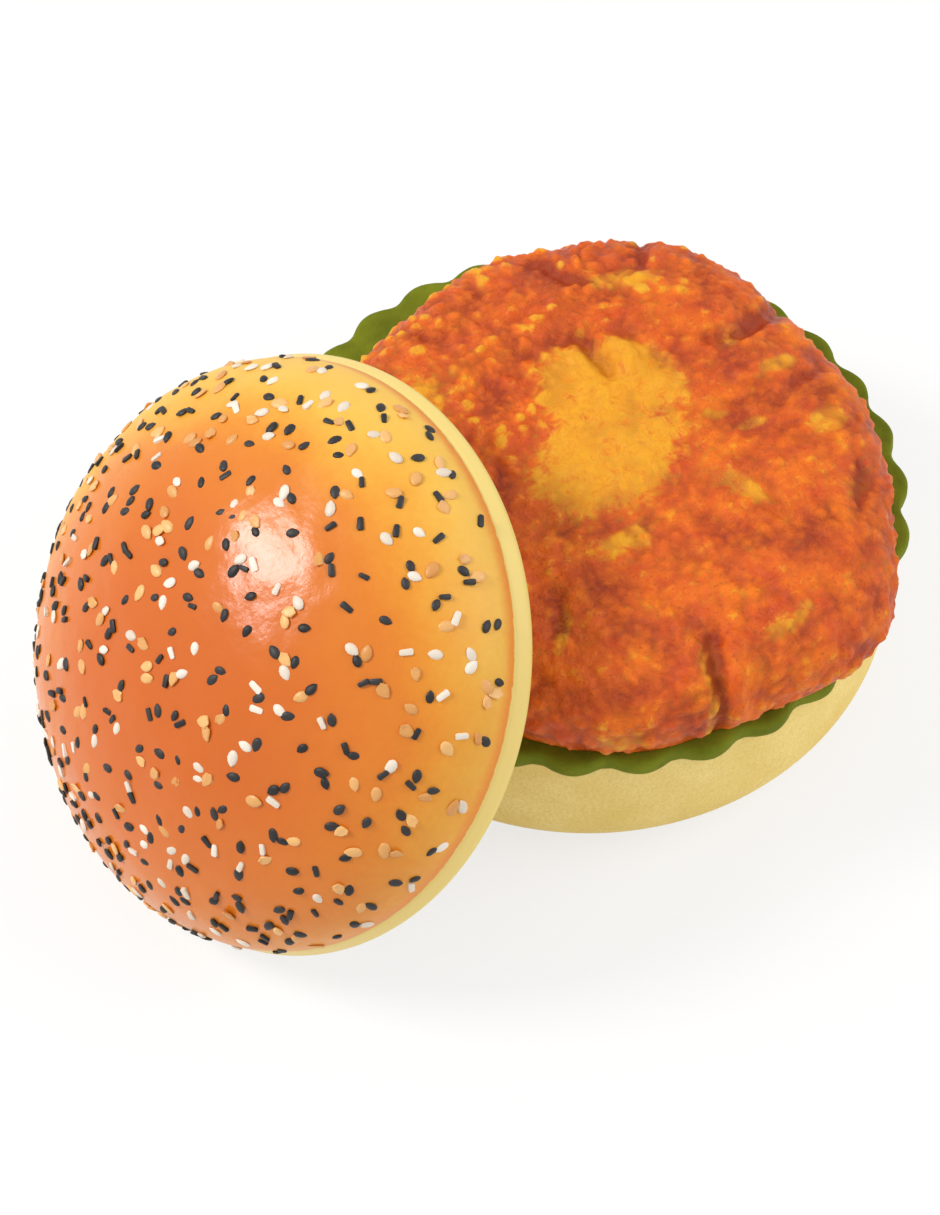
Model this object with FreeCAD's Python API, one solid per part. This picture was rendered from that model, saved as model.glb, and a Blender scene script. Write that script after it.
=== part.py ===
import FreeCAD
import Part
import math
import os
import random

from FreeCAD import Vector

# A novelty cordless telephone in the shape of a filled bun. The base is the bottom bun with a
# lettuce leaf and a fried patty on top. The handset is the seeded top bun, which leans on the patty
# with its lower rim on the table. Millimetres, +Z up. The origin is the centre of the base's
# underside, and the handset leans towards -X. Handset pieces are made in the handset's own frame,
# with the face it talks and dials on at Z = 0, the dome towards +Z and the earpiece towards +X.

# Shared clearances and fasteners
SLIDE_FIT = 0.3
SEAT_FIT = 0.2
SHAFT_FIT = 0.05
SCREW_FIT = 0.2
SCREW_PILOT_FIT = 0.05
SCREW_HEAD_RATIO = 2.2
SMALL_SCREW_R = 0.8
CASE_SCREW_R = 1.2
SCREW_HEAD_T = 1.4
BOARD_T = 1.6

# Top bun shell
CROWN_R = 70.0
CROWN_HEIGHT = 44.5
BAND_HEIGHT = 6.0
CREASE_INSET = 1.4
RIM_ROUNDING = 2.0
CROWN_WALL = 2.6
DOME_POWER = 1.08
DOME_ANGLES = (0, 7, 16, 28, 42, 57, 72, 90)
FACE_LEDGE = 1.8
FACE_T = 2.5
FACE_RIM_WIDTH = 4.1
CASE_BOSS_R = 3.2
CASE_BOSS_EDGE = 8.9
CASE_BOSS_ANGLES = (40, 140, 220, 320)
CASE_SCREW_LENGTH = 8.0

# How the handset leans on the base
LEAN_DEG = 47.3
LEAN_GAP = 0.35
REST_PAD_T = 1.5
REST_PAD_R = 4.0
REST_PAD_INSET = 2.0
REST_PAD_EDGE = 9.8
REST_PAD_LOW_ANGLES = (130, 230)

# Keypad
KEY_PITCH_Y = 14.5
KEY_GAP_X = 3.4
KEY_WIDTH = 11.0
CALL_KEY_WIDTH = 17.0
KEY_CORNER_SHARE = 0.29
KEY_PROUD = 0.9
KEY_EDGE = 0.4
KEY_FLANGE = 1.0
KEY_FLANGE_T = 1.0
KEY_TRAVEL = 1.2
KEYPAD_TOP_MARGIN = 13.0
KEYPAD_LOW_MARGIN = 11.5
KEY_ROWS = (
    ("key_1", "key_2", "key_3"),
    ("key_4", "key_5", "key_6"),
    ("key_7", "key_8", "key_9"),
    ("key_star", "key_0", "key_hash"),
)
CALL_KEYS = ("key_talk", "key_end")
KEYPAD_MAT_T = 1.2
KEYPAD_MAT_MARGIN = 2.0

# Handset board, earpiece and microphone
HANDSET_BOARD_TOP_GAP = 4.0
HANDSET_BOARD_LOW_GAP = 0.65
HANDSET_BOARD_HALF_WIDTH = 23.6
HANDSET_POST_INSET = 3.6
HANDSET_POST_R = 2.2
HANDSET_SHIELD = (30.0, 24.0, 3.0)
EARPIECE_EDGE = 21.9
EARPIECE_R = 13.4
EARPIECE_T = 6.0
EARPIECE_MAGNET_R = 8.0
EARPIECE_MAGNET_T = 3.0
EARPIECE_GASKET_T = 0.8
EARPIECE_GASKET_WIDTH = 3.2
EARPIECE_HOLE_R = 0.8
EARPIECE_HOLE_STEP = 3.1
CUP_WALL = 1.4
CUP_HEIGHT = 5.0
MICROPHONE_EDGE = 13.9
MICROPHONE_R = 4.8
MICROPHONE_T = 4.6
MIC_BOOT_WALL = 1.4
MIC_HOLE_R = 0.9

# Battery bay beside the keypad
CELL_R = 5.25
CELL_LENGTH = 44.5
CELL_NUB_R = 1.9
CELL_NUB_T = 0.8
CELL_COUNT = 2
CELL_GAP = 0.4
CONTACT_T = 0.4
BAY_BOARD_GAP = 3.4
BAY_WALL = 1.0
BAY_LEDGE = 1.0
BAY_DOOR_T = 1.8
BAY_DOOR_GRIP_LENGTH = 10.0
BAY_DOOR_GRIP_WIDTH = 1.6
BAY_DOOR_GRIP_DEPTH = 0.8
BAY_DOOR_GRIPS = 3

# Charging contacts, shared by the handset and the base
CHARGE_EDGE = 11.9
CHARGE_Y = 14.0
CHARGE_PAD_R = 3.5
CHARGE_PAD_T = 1.0
CHARGE_STEM_R = 1.0
CHARGE_STEM_LENGTH = 4.0

# Seeds and flakes baked onto the dome
BLACK_SEED_COUNT = 340
WHITE_SEED_COUNT = 125
GARLIC_FLAKE_COUNT = 145
BLACK_SEED_SIZE = (3.3, 2.0, 1.5)
WHITE_SEED_SIZE = (3.2, 2.2, 1.4)
GARLIC_FLAKE_SIZE = (3.4, 2.4, 1.3)
SEED_SPACING_SHARE = 0.054
SEED_MAP_RISE_SHARE = 0.54
SEED_DRAW = 11
SPARSE_TURN_DEG = -46.0
SPARSE_SHARE = 0.9
SEED_LOWEST = 0.06
SEED_HIGHEST = 0.99

# Bottom bun
HEEL_R = 77.6
HEEL_SHOULDER_Z = 21.6
HEEL_TAPER = 0.8
HEEL_TOP_Z = 42.2
HEEL_TUCK = 14.6
HEEL_LIFT = 1.0
HEEL_WALL = 2.8
HEEL_RIM_T = 5.0
HEEL_RIM_WIDTH = 2.8
HEEL_INNER_STEP = 6.3
FLOOR_PAD_R = 44.0
FLOOR_PAD_T = 2.0
BASE_PLATE_T = 3.0
BASE_BOSS_R = 4.0
BASE_BOSS_EDGE = 9.2
BASE_BOSS_ANGLES = (45, 135, 225, 315)
BASE_SCREW_LENGTH = 12.0

# Lettuce leaf
LETTUCE_T = 5.0
LETTUCE_OVERHANG = 1.6
SCALLOPS = 30
SCALLOP_DEPTH = 2.4
SCALLOP_PHASE_DEG = 2.6
SCALLOP_PEAK_SHARE = 0.58

# Fried patty: its widest outline as angle and reach past the top bun, its side as height share and
# inset, and its lumps and furrows as place, half length and half width in shares of the top bun's
# radius, turn, and rise or depth
PATTY_T = 25.0
PATTY_WALL = 3.0
PATTY_OUTLINE = (
    (0, -2.5), (18, 0.0), (36, 1.0), (58, -3.0), (82, -5.0), (105, -8.0), (130, -4.0), (155, 0.5),
    (180, 2.5), (203, 5.0), (223, 7.0), (243, 9.5), (262, 8.5), (288, 14.0), (309, 5.5), (335, 0.5),
)
PATTY_SIDE = ((0.0, 3.5), (0.3, 0.0), (0.6, 1.0), (0.8, 4.0), (0.92, 9.5), (0.98, 20.0), (1.0, 38.0))
PATTY_LUMP_SUNK = 2.0
PATTY_LUMPS = (
    (0.29, 0.18, 0.16, 0.08, 82, 1.8), (-0.03, -0.14, 0.36, 0.24, 8, 1.0), (0.0, 0.45, 0.38, 0.14, -6, 1.3),
    (0.52, 0.34, 0.22, 0.17, 25, 1.3), (0.63, -0.09, 0.2, 0.14, 10, 1.4), (0.09, -0.77, 0.36, 0.18, 0, 1.3),
    (0.44, -0.53, 0.24, 0.15, -40, 1.1), (-0.36, -0.72, 0.18, 0.12, 40, 1.1),
)
PATTY_FURROWS = (
    (0.213, 0.236, 0.125, 0.026, 78, 1.9), (0.79, 0.07, 0.13, 0.03, 15, 1.8),
    (0.73, -0.24, 0.17, 0.024, 13, 1.3), (-0.23, -0.99, 0.15, 0.026, 65, 1.9),
    (0.61, -0.7, 0.12, 0.028, 57, 1.8),
)
PATTY_BOSS_R = 4.0
PATTY_BOSS_CIRCLE_R = 42.0
PATTY_BOSS_ANGLES = (0, 120, 240)
PATTY_SCREW_LENGTH = 11.0

# Charging pins in the patty
PIN_R = 1.5
PIN_PROUD = 1.0
PIN_LENGTH = 18.0
PIN_TRAVEL = 1.5
PIN_HOLE_FIT = 0.5
PIN_BLOCK_HALF_LENGTH = 6.0
PIN_BLOCK_HALF_WIDTH = 19.0
PIN_BLOCK_HEIGHT = 17.0

# Main board with its sockets, page button and switch
MAIN_BOARD_LENGTH = 56.0
MAIN_BOARD_HALF_WIDTH = 26.0
MAIN_POST_HEIGHT = 5.5
MAIN_POST_R = 3.0
MAIN_POST_INSET = 4.0
MAIN_POST_SOCKET_GAP = 5.0
MAIN_POST_Y = 22.0
MAIN_SHIELD = (26.0, 28.0, 4.0)
MAIN_SHIELD_INSET = 10.0
SOCKET_SINK = 6.6
SOCKET_OVERHANG = 5.0
SOCKET_Y = 16.0
LINE_JACK_SIZE = (16.0, 13.0, 12.0)
LINE_SOCKET_WIDTH = 9.8
LINE_SOCKET_HEIGHT = 7.4
LINE_SOCKET_DEPTH = 12.0
LINE_SOCKET_SILL = 2.3
LINE_CONTACT_SIZE = (9.0, 0.5, 0.6)
LINE_CONTACT_PITCH = 1.3
LINE_CONTACTS = 4
POWER_JACK_SIZE = (14.0, 9.0, 11.0)
POWER_BORE_R = 3.1
POWER_BORE_DEPTH = 9.5
POWER_PIN_R = 1.0
POWER_PIN_LENGTH = 8.5
POWER_HOLE_R = 5.0
PAGE_BUTTON_R = 4.6
PAGE_BUTTON_Z = 27.0
PAGE_BUTTON_PROUD = 1.3
PAGE_FLANGE = 1.7
PAGE_FLANGE_T = 1.6
PAGE_GUIDE_WALL = 1.7
PAGE_GUIDE_LENGTH = 11.6
PAGE_TRAVEL = 1.0
PAGE_SWITCH_SIZE = (6.5, 6.4)
PAGE_SWITCH_HEAD = 3.2

# Ringer behind slots in the far side, and the ballast
RINGER_R = 14.5
RINGER_EDGE = 10.2
RINGER_RIM_T = 6.0
RINGER_MAGNET_R = 9.0
RINGER_MAGNET_T = 7.0
RINGER_CUP_WALL = 2.0
RINGER_CUP_DEPTH = 7.0
RINGER_FOOT_HALF_WIDTH = 8.0
RINGER_CONE_R = 12.0
RINGER_CONE_DEPTH = 3.0
SOUND_SLOTS = 5
SOUND_SLOT_WIDTH = 2.2
SOUND_SLOT_HEIGHT = 14.0
SOUND_SLOT_PITCH = 5.5
BALLAST_EDGE = 10.2
BALLAST_LENGTH = 36.0
BALLAST_HALF_WIDTH = 24.0
BALLAST_T = 7.0
BALLAST_SCREW_Y = 16.0
BALLAST_SCREW_BITE = 2.0

# Places that follow from the sizes above
UP = Vector(0, 0, 1)
CREASE_R = CROWN_R - CREASE_INSET
FACE_R = CROWN_R - FACE_RIM_WIDTH
FACE_SEAT_R = FACE_R + SEAT_FIT
DOME_INNER_R = FACE_SEAT_R - FACE_LEDGE
CASE_BOSS_CIRCLE_R = FACE_R - CASE_BOSS_EDGE
EARPIECE_X = FACE_R - EARPIECE_EDGE
MICROPHONE_X = MICROPHONE_EDGE - FACE_R
CHARGE_X = CHARGE_EDGE - FACE_R
EAR_CUP_R = EARPIECE_R + SEAT_FIT
MIC_CUP_R = MICROPHONE_R + SHAFT_FIT + MIC_BOOT_WALL + SEAT_FIT
HANDSET_BOARD_TOP_X = EARPIECE_X - EAR_CUP_R - CUP_WALL - HANDSET_BOARD_TOP_GAP
HANDSET_BOARD_LOW_X = MICROPHONE_X + MIC_CUP_R + CUP_WALL + HANDSET_BOARD_LOW_GAP
KEYPAD_TOP_X = HANDSET_BOARD_TOP_X - KEYPAD_TOP_MARGIN
KEYPAD_LOW_X = HANDSET_BOARD_LOW_X + KEYPAD_LOW_MARGIN
KEY_PITCH_X = (KEYPAD_TOP_X - KEYPAD_LOW_X) / len(KEY_ROWS)
KEY_LENGTH = KEY_PITCH_X - KEY_GAP_X
KEY_CORNER = KEY_LENGTH * KEY_CORNER_SHARE
REST_PAD_TOP_X = HANDSET_BOARD_TOP_X - REST_PAD_INSET
BAY_INNER_Y = HANDSET_BOARD_HALF_WIDTH + BAY_BOARD_GAP
FLANGE_BACK_Z = FACE_T + KEY_FLANGE_T
MAT_Z = FLANGE_BACK_Z + KEY_TRAVEL + SLIDE_FIT
HANDSET_BOARD_Z = MAT_Z + KEYPAD_MAT_T
HEEL_TOP_R = HEEL_R - HEEL_TAPER
HEEL_FOOT_R = HEEL_R - HEEL_TUCK
HEEL_OPENING_R = HEEL_FOOT_R - HEEL_RIM_WIDTH
BASE_PLATE_R = HEEL_OPENING_R - SEAT_FIT
BASE_BOSS_CIRCLE_R = HEEL_OPENING_R - BASE_BOSS_EDGE
LETTUCE_R = HEEL_TOP_R + LETTUCE_OVERHANG
SOCKET_FRONT_X = HEEL_R - SOCKET_SINK
MAIN_BOARD_END_X = SOCKET_FRONT_X - SOCKET_OVERHANG
MAIN_BOARD_START_X = MAIN_BOARD_END_X - MAIN_BOARD_LENGTH
PAGE_GUIDE_END_X = HEEL_R - PAGE_GUIDE_LENGTH
RINGER_BACK_Y = HEEL_OPENING_R - RINGER_EDGE
BALLAST_START_X = BALLAST_EDGE - HEEL_OPENING_R
BASE_PLATE_TOP_Z = FLOOR_PAD_T + BASE_PLATE_T
DECK_Z = HEEL_TOP_Z - HEEL_WALL
LETTUCE_TOP_Z = HEEL_TOP_Z + LETTUCE_T
MAIN_BOARD_Z = BASE_PLATE_TOP_Z + MAIN_POST_HEIGHT
MAIN_BOARD_TOP_Z = MAIN_BOARD_Z + BOARD_T
BAY_HALF_LENGTH = CELL_LENGTH / 2 + CELL_NUB_T / 2 + CONTACT_T + CELL_GAP / 2
BAY_WIDTH = CELL_COUNT * 2 * CELL_R + (CELL_COUNT + 1) * CELL_GAP
BAY_OUTER_Y = BAY_INNER_Y + BAY_WIDTH
BAY_FLOOR_Z = BAY_DOOR_T + 2 * CELL_GAP + 2 * CELL_R
RINGER_Z = (BASE_PLATE_TOP_Z + DECK_Z) / 2


def cylinder(radius, height, x, y, z, axis=UP):
    """A cylinder that starts at a point and runs along an axis."""
    return Part.makeCylinder(radius, height, Vector(x, y, z), axis)


def block(x0, x1, y0, y1, z0, z1):
    """A box between two corners."""
    return Part.makeBox(x1 - x0, y1 - y0, z1 - z0, Vector(x0, y0, z0))


def rounded_block(length, width, corner, x, y, z0, z1):
    """A box centred on a point in plan, with rounded upright edges."""
    plain = block(x - length / 2, x + length / 2, y - width / 2, y + width / 2, z0, z1)
    upright = [edge for edge in plain.Edges if abs(edge.tangentAt(edge.FirstParameter).z) > 0.9]
    return plain.makeFillet(corner, upright)


def on_circle(radius, angles):
    """Points in plan on a circle about the origin."""
    return [(radius * math.cos(math.radians(a)), radius * math.sin(math.radians(a))) for a in angles]


def tube(outer, inner, height, x, y, z, axis=UP):
    """A hollow cylinder."""
    return cylinder(outer, height, x, y, z, axis).cut(cylinder(inner, height, x, y, z, axis))


def revolved(edges):
    """A solid turned about the Z axis from a closed profile in the XZ plane."""
    return Part.Face(Part.Wire(edges)).revolve(Vector(0, 0, 0), UP, 360)


def line(start, end):
    """A straight profile edge between two radius and height pairs."""
    return Part.LineSegment(Vector(start[0], 0, start[1]), Vector(end[0], 0, end[1])).toShape()


def arc(start, middle, end):
    """A round profile edge through three radius and height pairs."""
    points = [Vector(r, 0, z) for r, z in (start, middle, end)]
    return Part.Arc(*points).toShape()


def polyline(*points):
    """Straight profile edges through radius and height pairs."""
    return [line(a, b) for a, b in zip(points, points[1:])]


def screws(radius, length, places, seat_z, direction):
    """Pan-head screws: the head lies behind the seat and the shank runs along the direction."""
    head_r = radius * SCREW_HEAD_RATIO
    made = []
    for x, y in places:
        shank = cylinder(radius - SCREW_PILOT_FIT, length, x, y, seat_z, UP * direction)
        head = cylinder(head_r, SCREW_HEAD_T, x, y, seat_z, UP * -direction)
        made.append(shank.fuse(head))
    return Part.makeCompound(made)


def export(name, shape):
    """Write one piece to its own file."""
    shape.exportStep(os.path.join("parts", name + ".step"))


def dome_point(radius, base_z, top_z, angle_deg):
    """Radius and height on the dome, from its edge at 0 degrees to its top at 90."""
    angle = math.radians(angle_deg)
    rise = max(math.sin(angle), 0.0) ** DOME_POWER
    return radius * max(math.cos(angle), 0.0), base_z + (top_z - base_z) * rise


def dome_edge(radius, base_z, top_z):
    """The dome's profile as one smooth curve, upright at its edge and level at its top."""
    points = []
    for angle in DOME_ANGLES:
        r, z = dome_point(radius, base_z, top_z, angle)
        points.append(Vector(r, 0, z))
    points[-1].x = 0.0
    curve = Part.BSplineCurve()
    curve.interpolate(Points=points, InitialTangent=Vector(0, 0, 1), FinalTangent=Vector(-1, 0, 0))
    return curve.toShape()


def dome_solid(radius, base_z, top_z):
    """A solid dome, used to trim what reaches up into the shell."""
    edges = [dome_edge(radius, base_z, top_z)]
    edges += polyline((0, top_z), (0, 0), (radius, 0), (radius, base_z))
    return revolved(edges)


def make_crown_shell():
    """The top bun: a seeded dome with a pale side band, hollow, with four screw bosses."""
    round_r = CROWN_R - RIM_ROUNDING
    corner = RIM_ROUNDING * math.sqrt(0.5)
    inner_top = CROWN_HEIGHT - CROWN_WALL
    edges = [line((FACE_SEAT_R, 0), (round_r, 0))]
    edges.append(arc((round_r, 0), (round_r + corner, RIM_ROUNDING - corner), (CROWN_R, RIM_ROUNDING)))
    edges.append(line((CROWN_R, RIM_ROUNDING), (CREASE_R, BAND_HEIGHT)))
    edges.append(dome_edge(CREASE_R, BAND_HEIGHT, CROWN_HEIGHT))
    edges.append(line((0, CROWN_HEIGHT), (0, inner_top)))
    edges.append(dome_edge(DOME_INNER_R, BAND_HEIGHT, inner_top))
    edges += polyline(
        (DOME_INNER_R, BAND_HEIGHT), (DOME_INNER_R, FACE_T), (FACE_SEAT_R, FACE_T), (FACE_SEAT_R, 0)
    )
    shell = revolved(edges)
    half_wall = CROWN_WALL / 2
    trim = dome_solid(DOME_INNER_R + half_wall, BAND_HEIGHT, inner_top + half_wall)
    pilot_length = CASE_SCREW_LENGTH + CASE_SCREW_R
    for x, y in on_circle(CASE_BOSS_CIRCLE_R, CASE_BOSS_ANGLES):
        boss = cylinder(CASE_BOSS_R, CROWN_HEIGHT, x, y, FACE_T).common(trim)
        shell = shell.fuse(boss).cut(cylinder(CASE_SCREW_R, pilot_length, x, y, FACE_T))
    return shell


def handset_screw_seat_z():
    """Height of the face plate's screw seats, sunk so that the heads lie under the face."""
    return SCREW_HEAD_T + SEAT_FIT


def key_places():
    """Each key's name, centre and width."""
    places = []
    call_y = CALL_KEY_WIDTH / 2 + KEY_FLANGE + SLIDE_FIT
    for name, side in zip(CALL_KEYS, (-1, 1)):
        places.append((name, KEYPAD_TOP_X, side * call_y, CALL_KEY_WIDTH))
    for row, names in enumerate(KEY_ROWS):
        x = KEYPAD_TOP_X - (row + 1) * KEY_PITCH_X
        for name, side in zip(names, (-1, 0, 1)):
            places.append((name, x, side * KEY_PITCH_Y, KEY_WIDTH))
    return places


def make_key(x, y, width):
    """One push key: a rounded cap through the plate with a flange behind it."""
    cap = rounded_block(KEY_LENGTH, width, KEY_CORNER, x, y, -KEY_PROUD, FACE_T)
    top_edges = [edge for edge in cap.Edges if edge.BoundBox.ZMax < -KEY_PROUD + KEY_EDGE]
    cap = cap.makeFillet(KEY_EDGE, top_edges)
    flange_length = KEY_LENGTH + 2 * KEY_FLANGE
    flange = rounded_block(flange_length, width + 2 * KEY_FLANGE, KEY_CORNER, x, y, FACE_T, FLANGE_BACK_Z)
    return cap.fuse(flange)


def keypad_box():
    """Extent in plan of all the keys' flanges."""
    places = key_places()
    half_length = KEY_LENGTH / 2 + KEY_FLANGE
    low = min(x for _, x, _, _ in places) - half_length
    high = max(x for _, x, _, _ in places) + half_length
    half_width = max(abs(y) + width / 2 + KEY_FLANGE for _, _, y, width in places)
    return low, high, half_width


def handset_post_places():
    """Centres of the four posts that carry the handset board."""
    xs = (HANDSET_BOARD_LOW_X + HANDSET_POST_INSET, HANDSET_BOARD_TOP_X - HANDSET_POST_INSET)
    y = HANDSET_BOARD_HALF_WIDTH - HANDSET_POST_INSET
    return [(x, side * y) for x in xs for side in (1, -1)]


def bay_shell():
    """Walls and floor of the battery bay behind the face plate, with a ledge for the door."""
    grow = BAY_LEDGE + BAY_WALL
    outer = block(
        -BAY_HALF_LENGTH - grow, BAY_HALF_LENGTH + grow, BAY_INNER_Y - grow, BAY_OUTER_Y + grow,
        BAY_DOOR_T, BAY_FLOOR_Z + BAY_WALL,
    )
    inner = block(-BAY_HALF_LENGTH, BAY_HALF_LENGTH, BAY_INNER_Y, BAY_OUTER_Y, BAY_DOOR_T, BAY_FLOOR_Z)
    return outer.cut(inner)


def bay_cut():
    """The opening through the face plate that the battery door fills."""
    return block(
        -BAY_HALF_LENGTH - BAY_LEDGE, BAY_HALF_LENGTH + BAY_LEDGE,
        BAY_INNER_Y - BAY_LEDGE, BAY_OUTER_Y + BAY_LEDGE, 0, BAY_DOOR_T,
    )


def bay_hollow():
    """The space for the cells, cut right through the face plate."""
    return block(-BAY_HALF_LENGTH, BAY_HALF_LENGTH, BAY_INNER_Y, BAY_OUTER_Y, 0, BAY_FLOOR_Z)


def earpiece_holes():
    """Sound holes: one in the centre and two rings round it."""
    holes = [cylinder(EARPIECE_HOLE_R, FACE_T, EARPIECE_X, 0, 0)]
    for ring in (1, 2):
        angles = [360.0 / (6 * ring) * step for step in range(6 * ring)]
        for x, y in on_circle(ring * EARPIECE_HOLE_STEP, angles):
            holes.append(cylinder(EARPIECE_HOLE_R, FACE_T, EARPIECE_X + x, y, 0))
    return holes


def charge_places():
    """Centres of the two charging contacts."""
    return [(CHARGE_X, side * CHARGE_Y) for side in (1, -1)]


def make_face_plate():
    """The flat face: key openings, sound holes, battery bay, cups, posts and screw seats."""
    plate = cylinder(FACE_R, FACE_T, 0, 0, 0)
    plate = plate.cut(bay_hollow()).fuse(bay_shell()).cut(bay_cut())
    added = [tube(EAR_CUP_R + CUP_WALL, EAR_CUP_R, CUP_HEIGHT, EARPIECE_X, 0, FACE_T)]
    added.append(tube(MIC_CUP_R + CUP_WALL, MIC_CUP_R, CUP_HEIGHT, MICROPHONE_X, 0, FACE_T))
    post_height = HANDSET_BOARD_Z - FACE_T
    for x, y in handset_post_places():
        added.append(tube(HANDSET_POST_R, SMALL_SCREW_R, post_height, x, y, FACE_T))
    plate = plate.fuse(added)
    cuts = earpiece_holes()
    cuts.append(cylinder(MIC_HOLE_R, FACE_T, MICROPHONE_X, 0, 0))
    hole_length = KEY_LENGTH + 2 * SLIDE_FIT
    hole_corner = KEY_CORNER + SLIDE_FIT
    for _, x, y, width in key_places():
        cuts.append(rounded_block(hole_length, width + 2 * SLIDE_FIT, hole_corner, x, y, 0, FACE_T))
    for x, y in charge_places():
        cuts.append(cylinder(CHARGE_PAD_R + SHAFT_FIT, CHARGE_PAD_T, x, y, 0))
        cuts.append(cylinder(CHARGE_STEM_R + SHAFT_FIT, FACE_T, x, y, 0))
    for x, y in on_circle(CASE_BOSS_CIRCLE_R, CASE_BOSS_ANGLES):
        cuts.append(cylinder(CASE_SCREW_R * SCREW_HEAD_RATIO + SCREW_FIT, handset_screw_seat_z(), x, y, 0))
        cuts.append(cylinder(CASE_SCREW_R + SCREW_FIT, FACE_T, x, y, 0))
    return plate.cut(cuts)


def make_face_screws():
    """Screws through the face plate into the dome's bosses."""
    places = on_circle(CASE_BOSS_CIRCLE_R, CASE_BOSS_ANGLES)
    return screws(CASE_SCREW_R, CASE_SCREW_LENGTH, places, handset_screw_seat_z(), 1)


def make_keypad_mat():
    """The rubber switch mat between the keys and the board."""
    low, high, half_width = keypad_box()
    half = half_width - KEYPAD_MAT_MARGIN
    return block(low, high, -half, half, MAT_Z, HANDSET_BOARD_Z)


def make_handset_board():
    """The handset's circuit board, on its four posts."""
    half = HANDSET_BOARD_HALF_WIDTH
    top_z = HANDSET_BOARD_Z + BOARD_T
    board = block(HANDSET_BOARD_LOW_X, HANDSET_BOARD_TOP_X, -half, half, HANDSET_BOARD_Z, top_z)
    hole_r = SMALL_SCREW_R + SCREW_FIT
    return board.cut([cylinder(hole_r, BOARD_T, x, y, HANDSET_BOARD_Z) for x, y in handset_post_places()])


def make_handset_board_screws():
    """Screws through the handset board into its posts."""
    length = HANDSET_BOARD_Z + BOARD_T - FACE_T - SLIDE_FIT
    return screws(SMALL_SCREW_R, length, handset_post_places(), HANDSET_BOARD_Z + BOARD_T, -1)


def make_handset_shield():
    """The metal can over the radio parts of the handset board."""
    length, width, height = HANDSET_SHIELD
    centre = (HANDSET_BOARD_LOW_X + HANDSET_BOARD_TOP_X) / 2
    z = HANDSET_BOARD_Z + BOARD_T
    return block(centre - length / 2, centre + length / 2, -width / 2, width / 2, z, z + height)


def make_earpiece_receiver():
    """The earpiece capsule with its magnet behind."""
    z = FACE_T + EARPIECE_GASKET_T
    capsule = cylinder(EARPIECE_R, EARPIECE_T, EARPIECE_X, 0, z)
    return capsule.fuse(cylinder(EARPIECE_MAGNET_R, EARPIECE_MAGNET_T, EARPIECE_X, 0, z + EARPIECE_T))


def make_earpiece_gasket():
    """The soft ring that seals the earpiece to the face plate."""
    return tube(EARPIECE_R, EARPIECE_R - EARPIECE_GASKET_WIDTH, EARPIECE_GASKET_T, EARPIECE_X, 0, FACE_T)


def make_microphone():
    """The microphone capsule behind its sound hole."""
    return cylinder(MICROPHONE_R, MICROPHONE_T, MICROPHONE_X, 0, FACE_T)


def make_mic_boot():
    """The rubber sleeve that holds the microphone in its cup."""
    inner = MICROPHONE_R + SHAFT_FIT
    return tube(inner + MIC_BOOT_WALL, inner, MICROPHONE_T, MICROPHONE_X, 0, FACE_T)


def cell_axes():
    """Y and Z of each cell's axis."""
    pitch = 2 * CELL_R + CELL_GAP
    first = BAY_INNER_Y + CELL_GAP + CELL_R
    return [(first + pitch * index, BAY_DOOR_T + CELL_GAP + CELL_R) for index in range(CELL_COUNT)]


def make_battery_cells():
    """Two small cells side by side, turned end for end."""
    cells = []
    for index, (y, z) in enumerate(cell_axes()):
        side = 1 if index % 2 == 0 else -1
        start = -side * (CELL_LENGTH + CELL_NUB_T) / 2
        along = Vector(side, 0, 0)
        can = cylinder(CELL_R, CELL_LENGTH, start, y, z, along)
        nub = cylinder(CELL_NUB_R, CELL_NUB_T, start + side * CELL_LENGTH, y, z, along)
        cells.append(can.fuse(nub))
    return Part.makeCompound(cells)


def make_battery_contacts():
    """Contact plates on both end walls of the bay, one of them joining the two cells."""
    low_z = BAY_DOOR_T + CELL_GAP
    high_z = BAY_FLOOR_Z - CELL_GAP
    inner = BAY_HALF_LENGTH - CONTACT_T
    low_y = BAY_INNER_Y + CELL_GAP
    high_y = BAY_OUTER_Y - CELL_GAP
    plates = [block(-BAY_HALF_LENGTH, -inner, low_y, high_y, low_z, high_z)]
    for y, _ in cell_axes():
        half = CELL_R - CELL_GAP
        plates.append(block(inner, BAY_HALF_LENGTH, y - half, y + half, low_z, high_z))
    return Part.makeCompound(plates)


def make_battery_door():
    """The battery cover, level with the face, with grip grooves along one end."""
    half = BAY_HALF_LENGTH + BAY_LEDGE - SLIDE_FIT
    low_y = BAY_INNER_Y - BAY_LEDGE + SLIDE_FIT
    high_y = BAY_OUTER_Y + BAY_LEDGE - SLIDE_FIT
    door = block(-half, half, low_y, high_y, 0, BAY_DOOR_T)
    middle = (low_y + high_y) / 2
    for index in range(BAY_DOOR_GRIPS):
        x = -half + BAY_DOOR_GRIP_WIDTH * 2 * (index + 1)
        groove = block(
            x, x + BAY_DOOR_GRIP_WIDTH, middle - BAY_DOOR_GRIP_LENGTH / 2, middle + BAY_DOOR_GRIP_LENGTH / 2,
            0, BAY_DOOR_GRIP_DEPTH,
        )
        door = door.cut(groove)
    return door


def make_charge_contacts():
    """Two plated discs in the face, each with a stem through the plate."""
    made = []
    for x, y in charge_places():
        disc = cylinder(CHARGE_PAD_R, CHARGE_PAD_T, x, y, 0)
        made.append(disc.fuse(cylinder(CHARGE_STEM_R, CHARGE_STEM_LENGTH, x, y, 0)))
    return Part.makeCompound(made)


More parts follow.
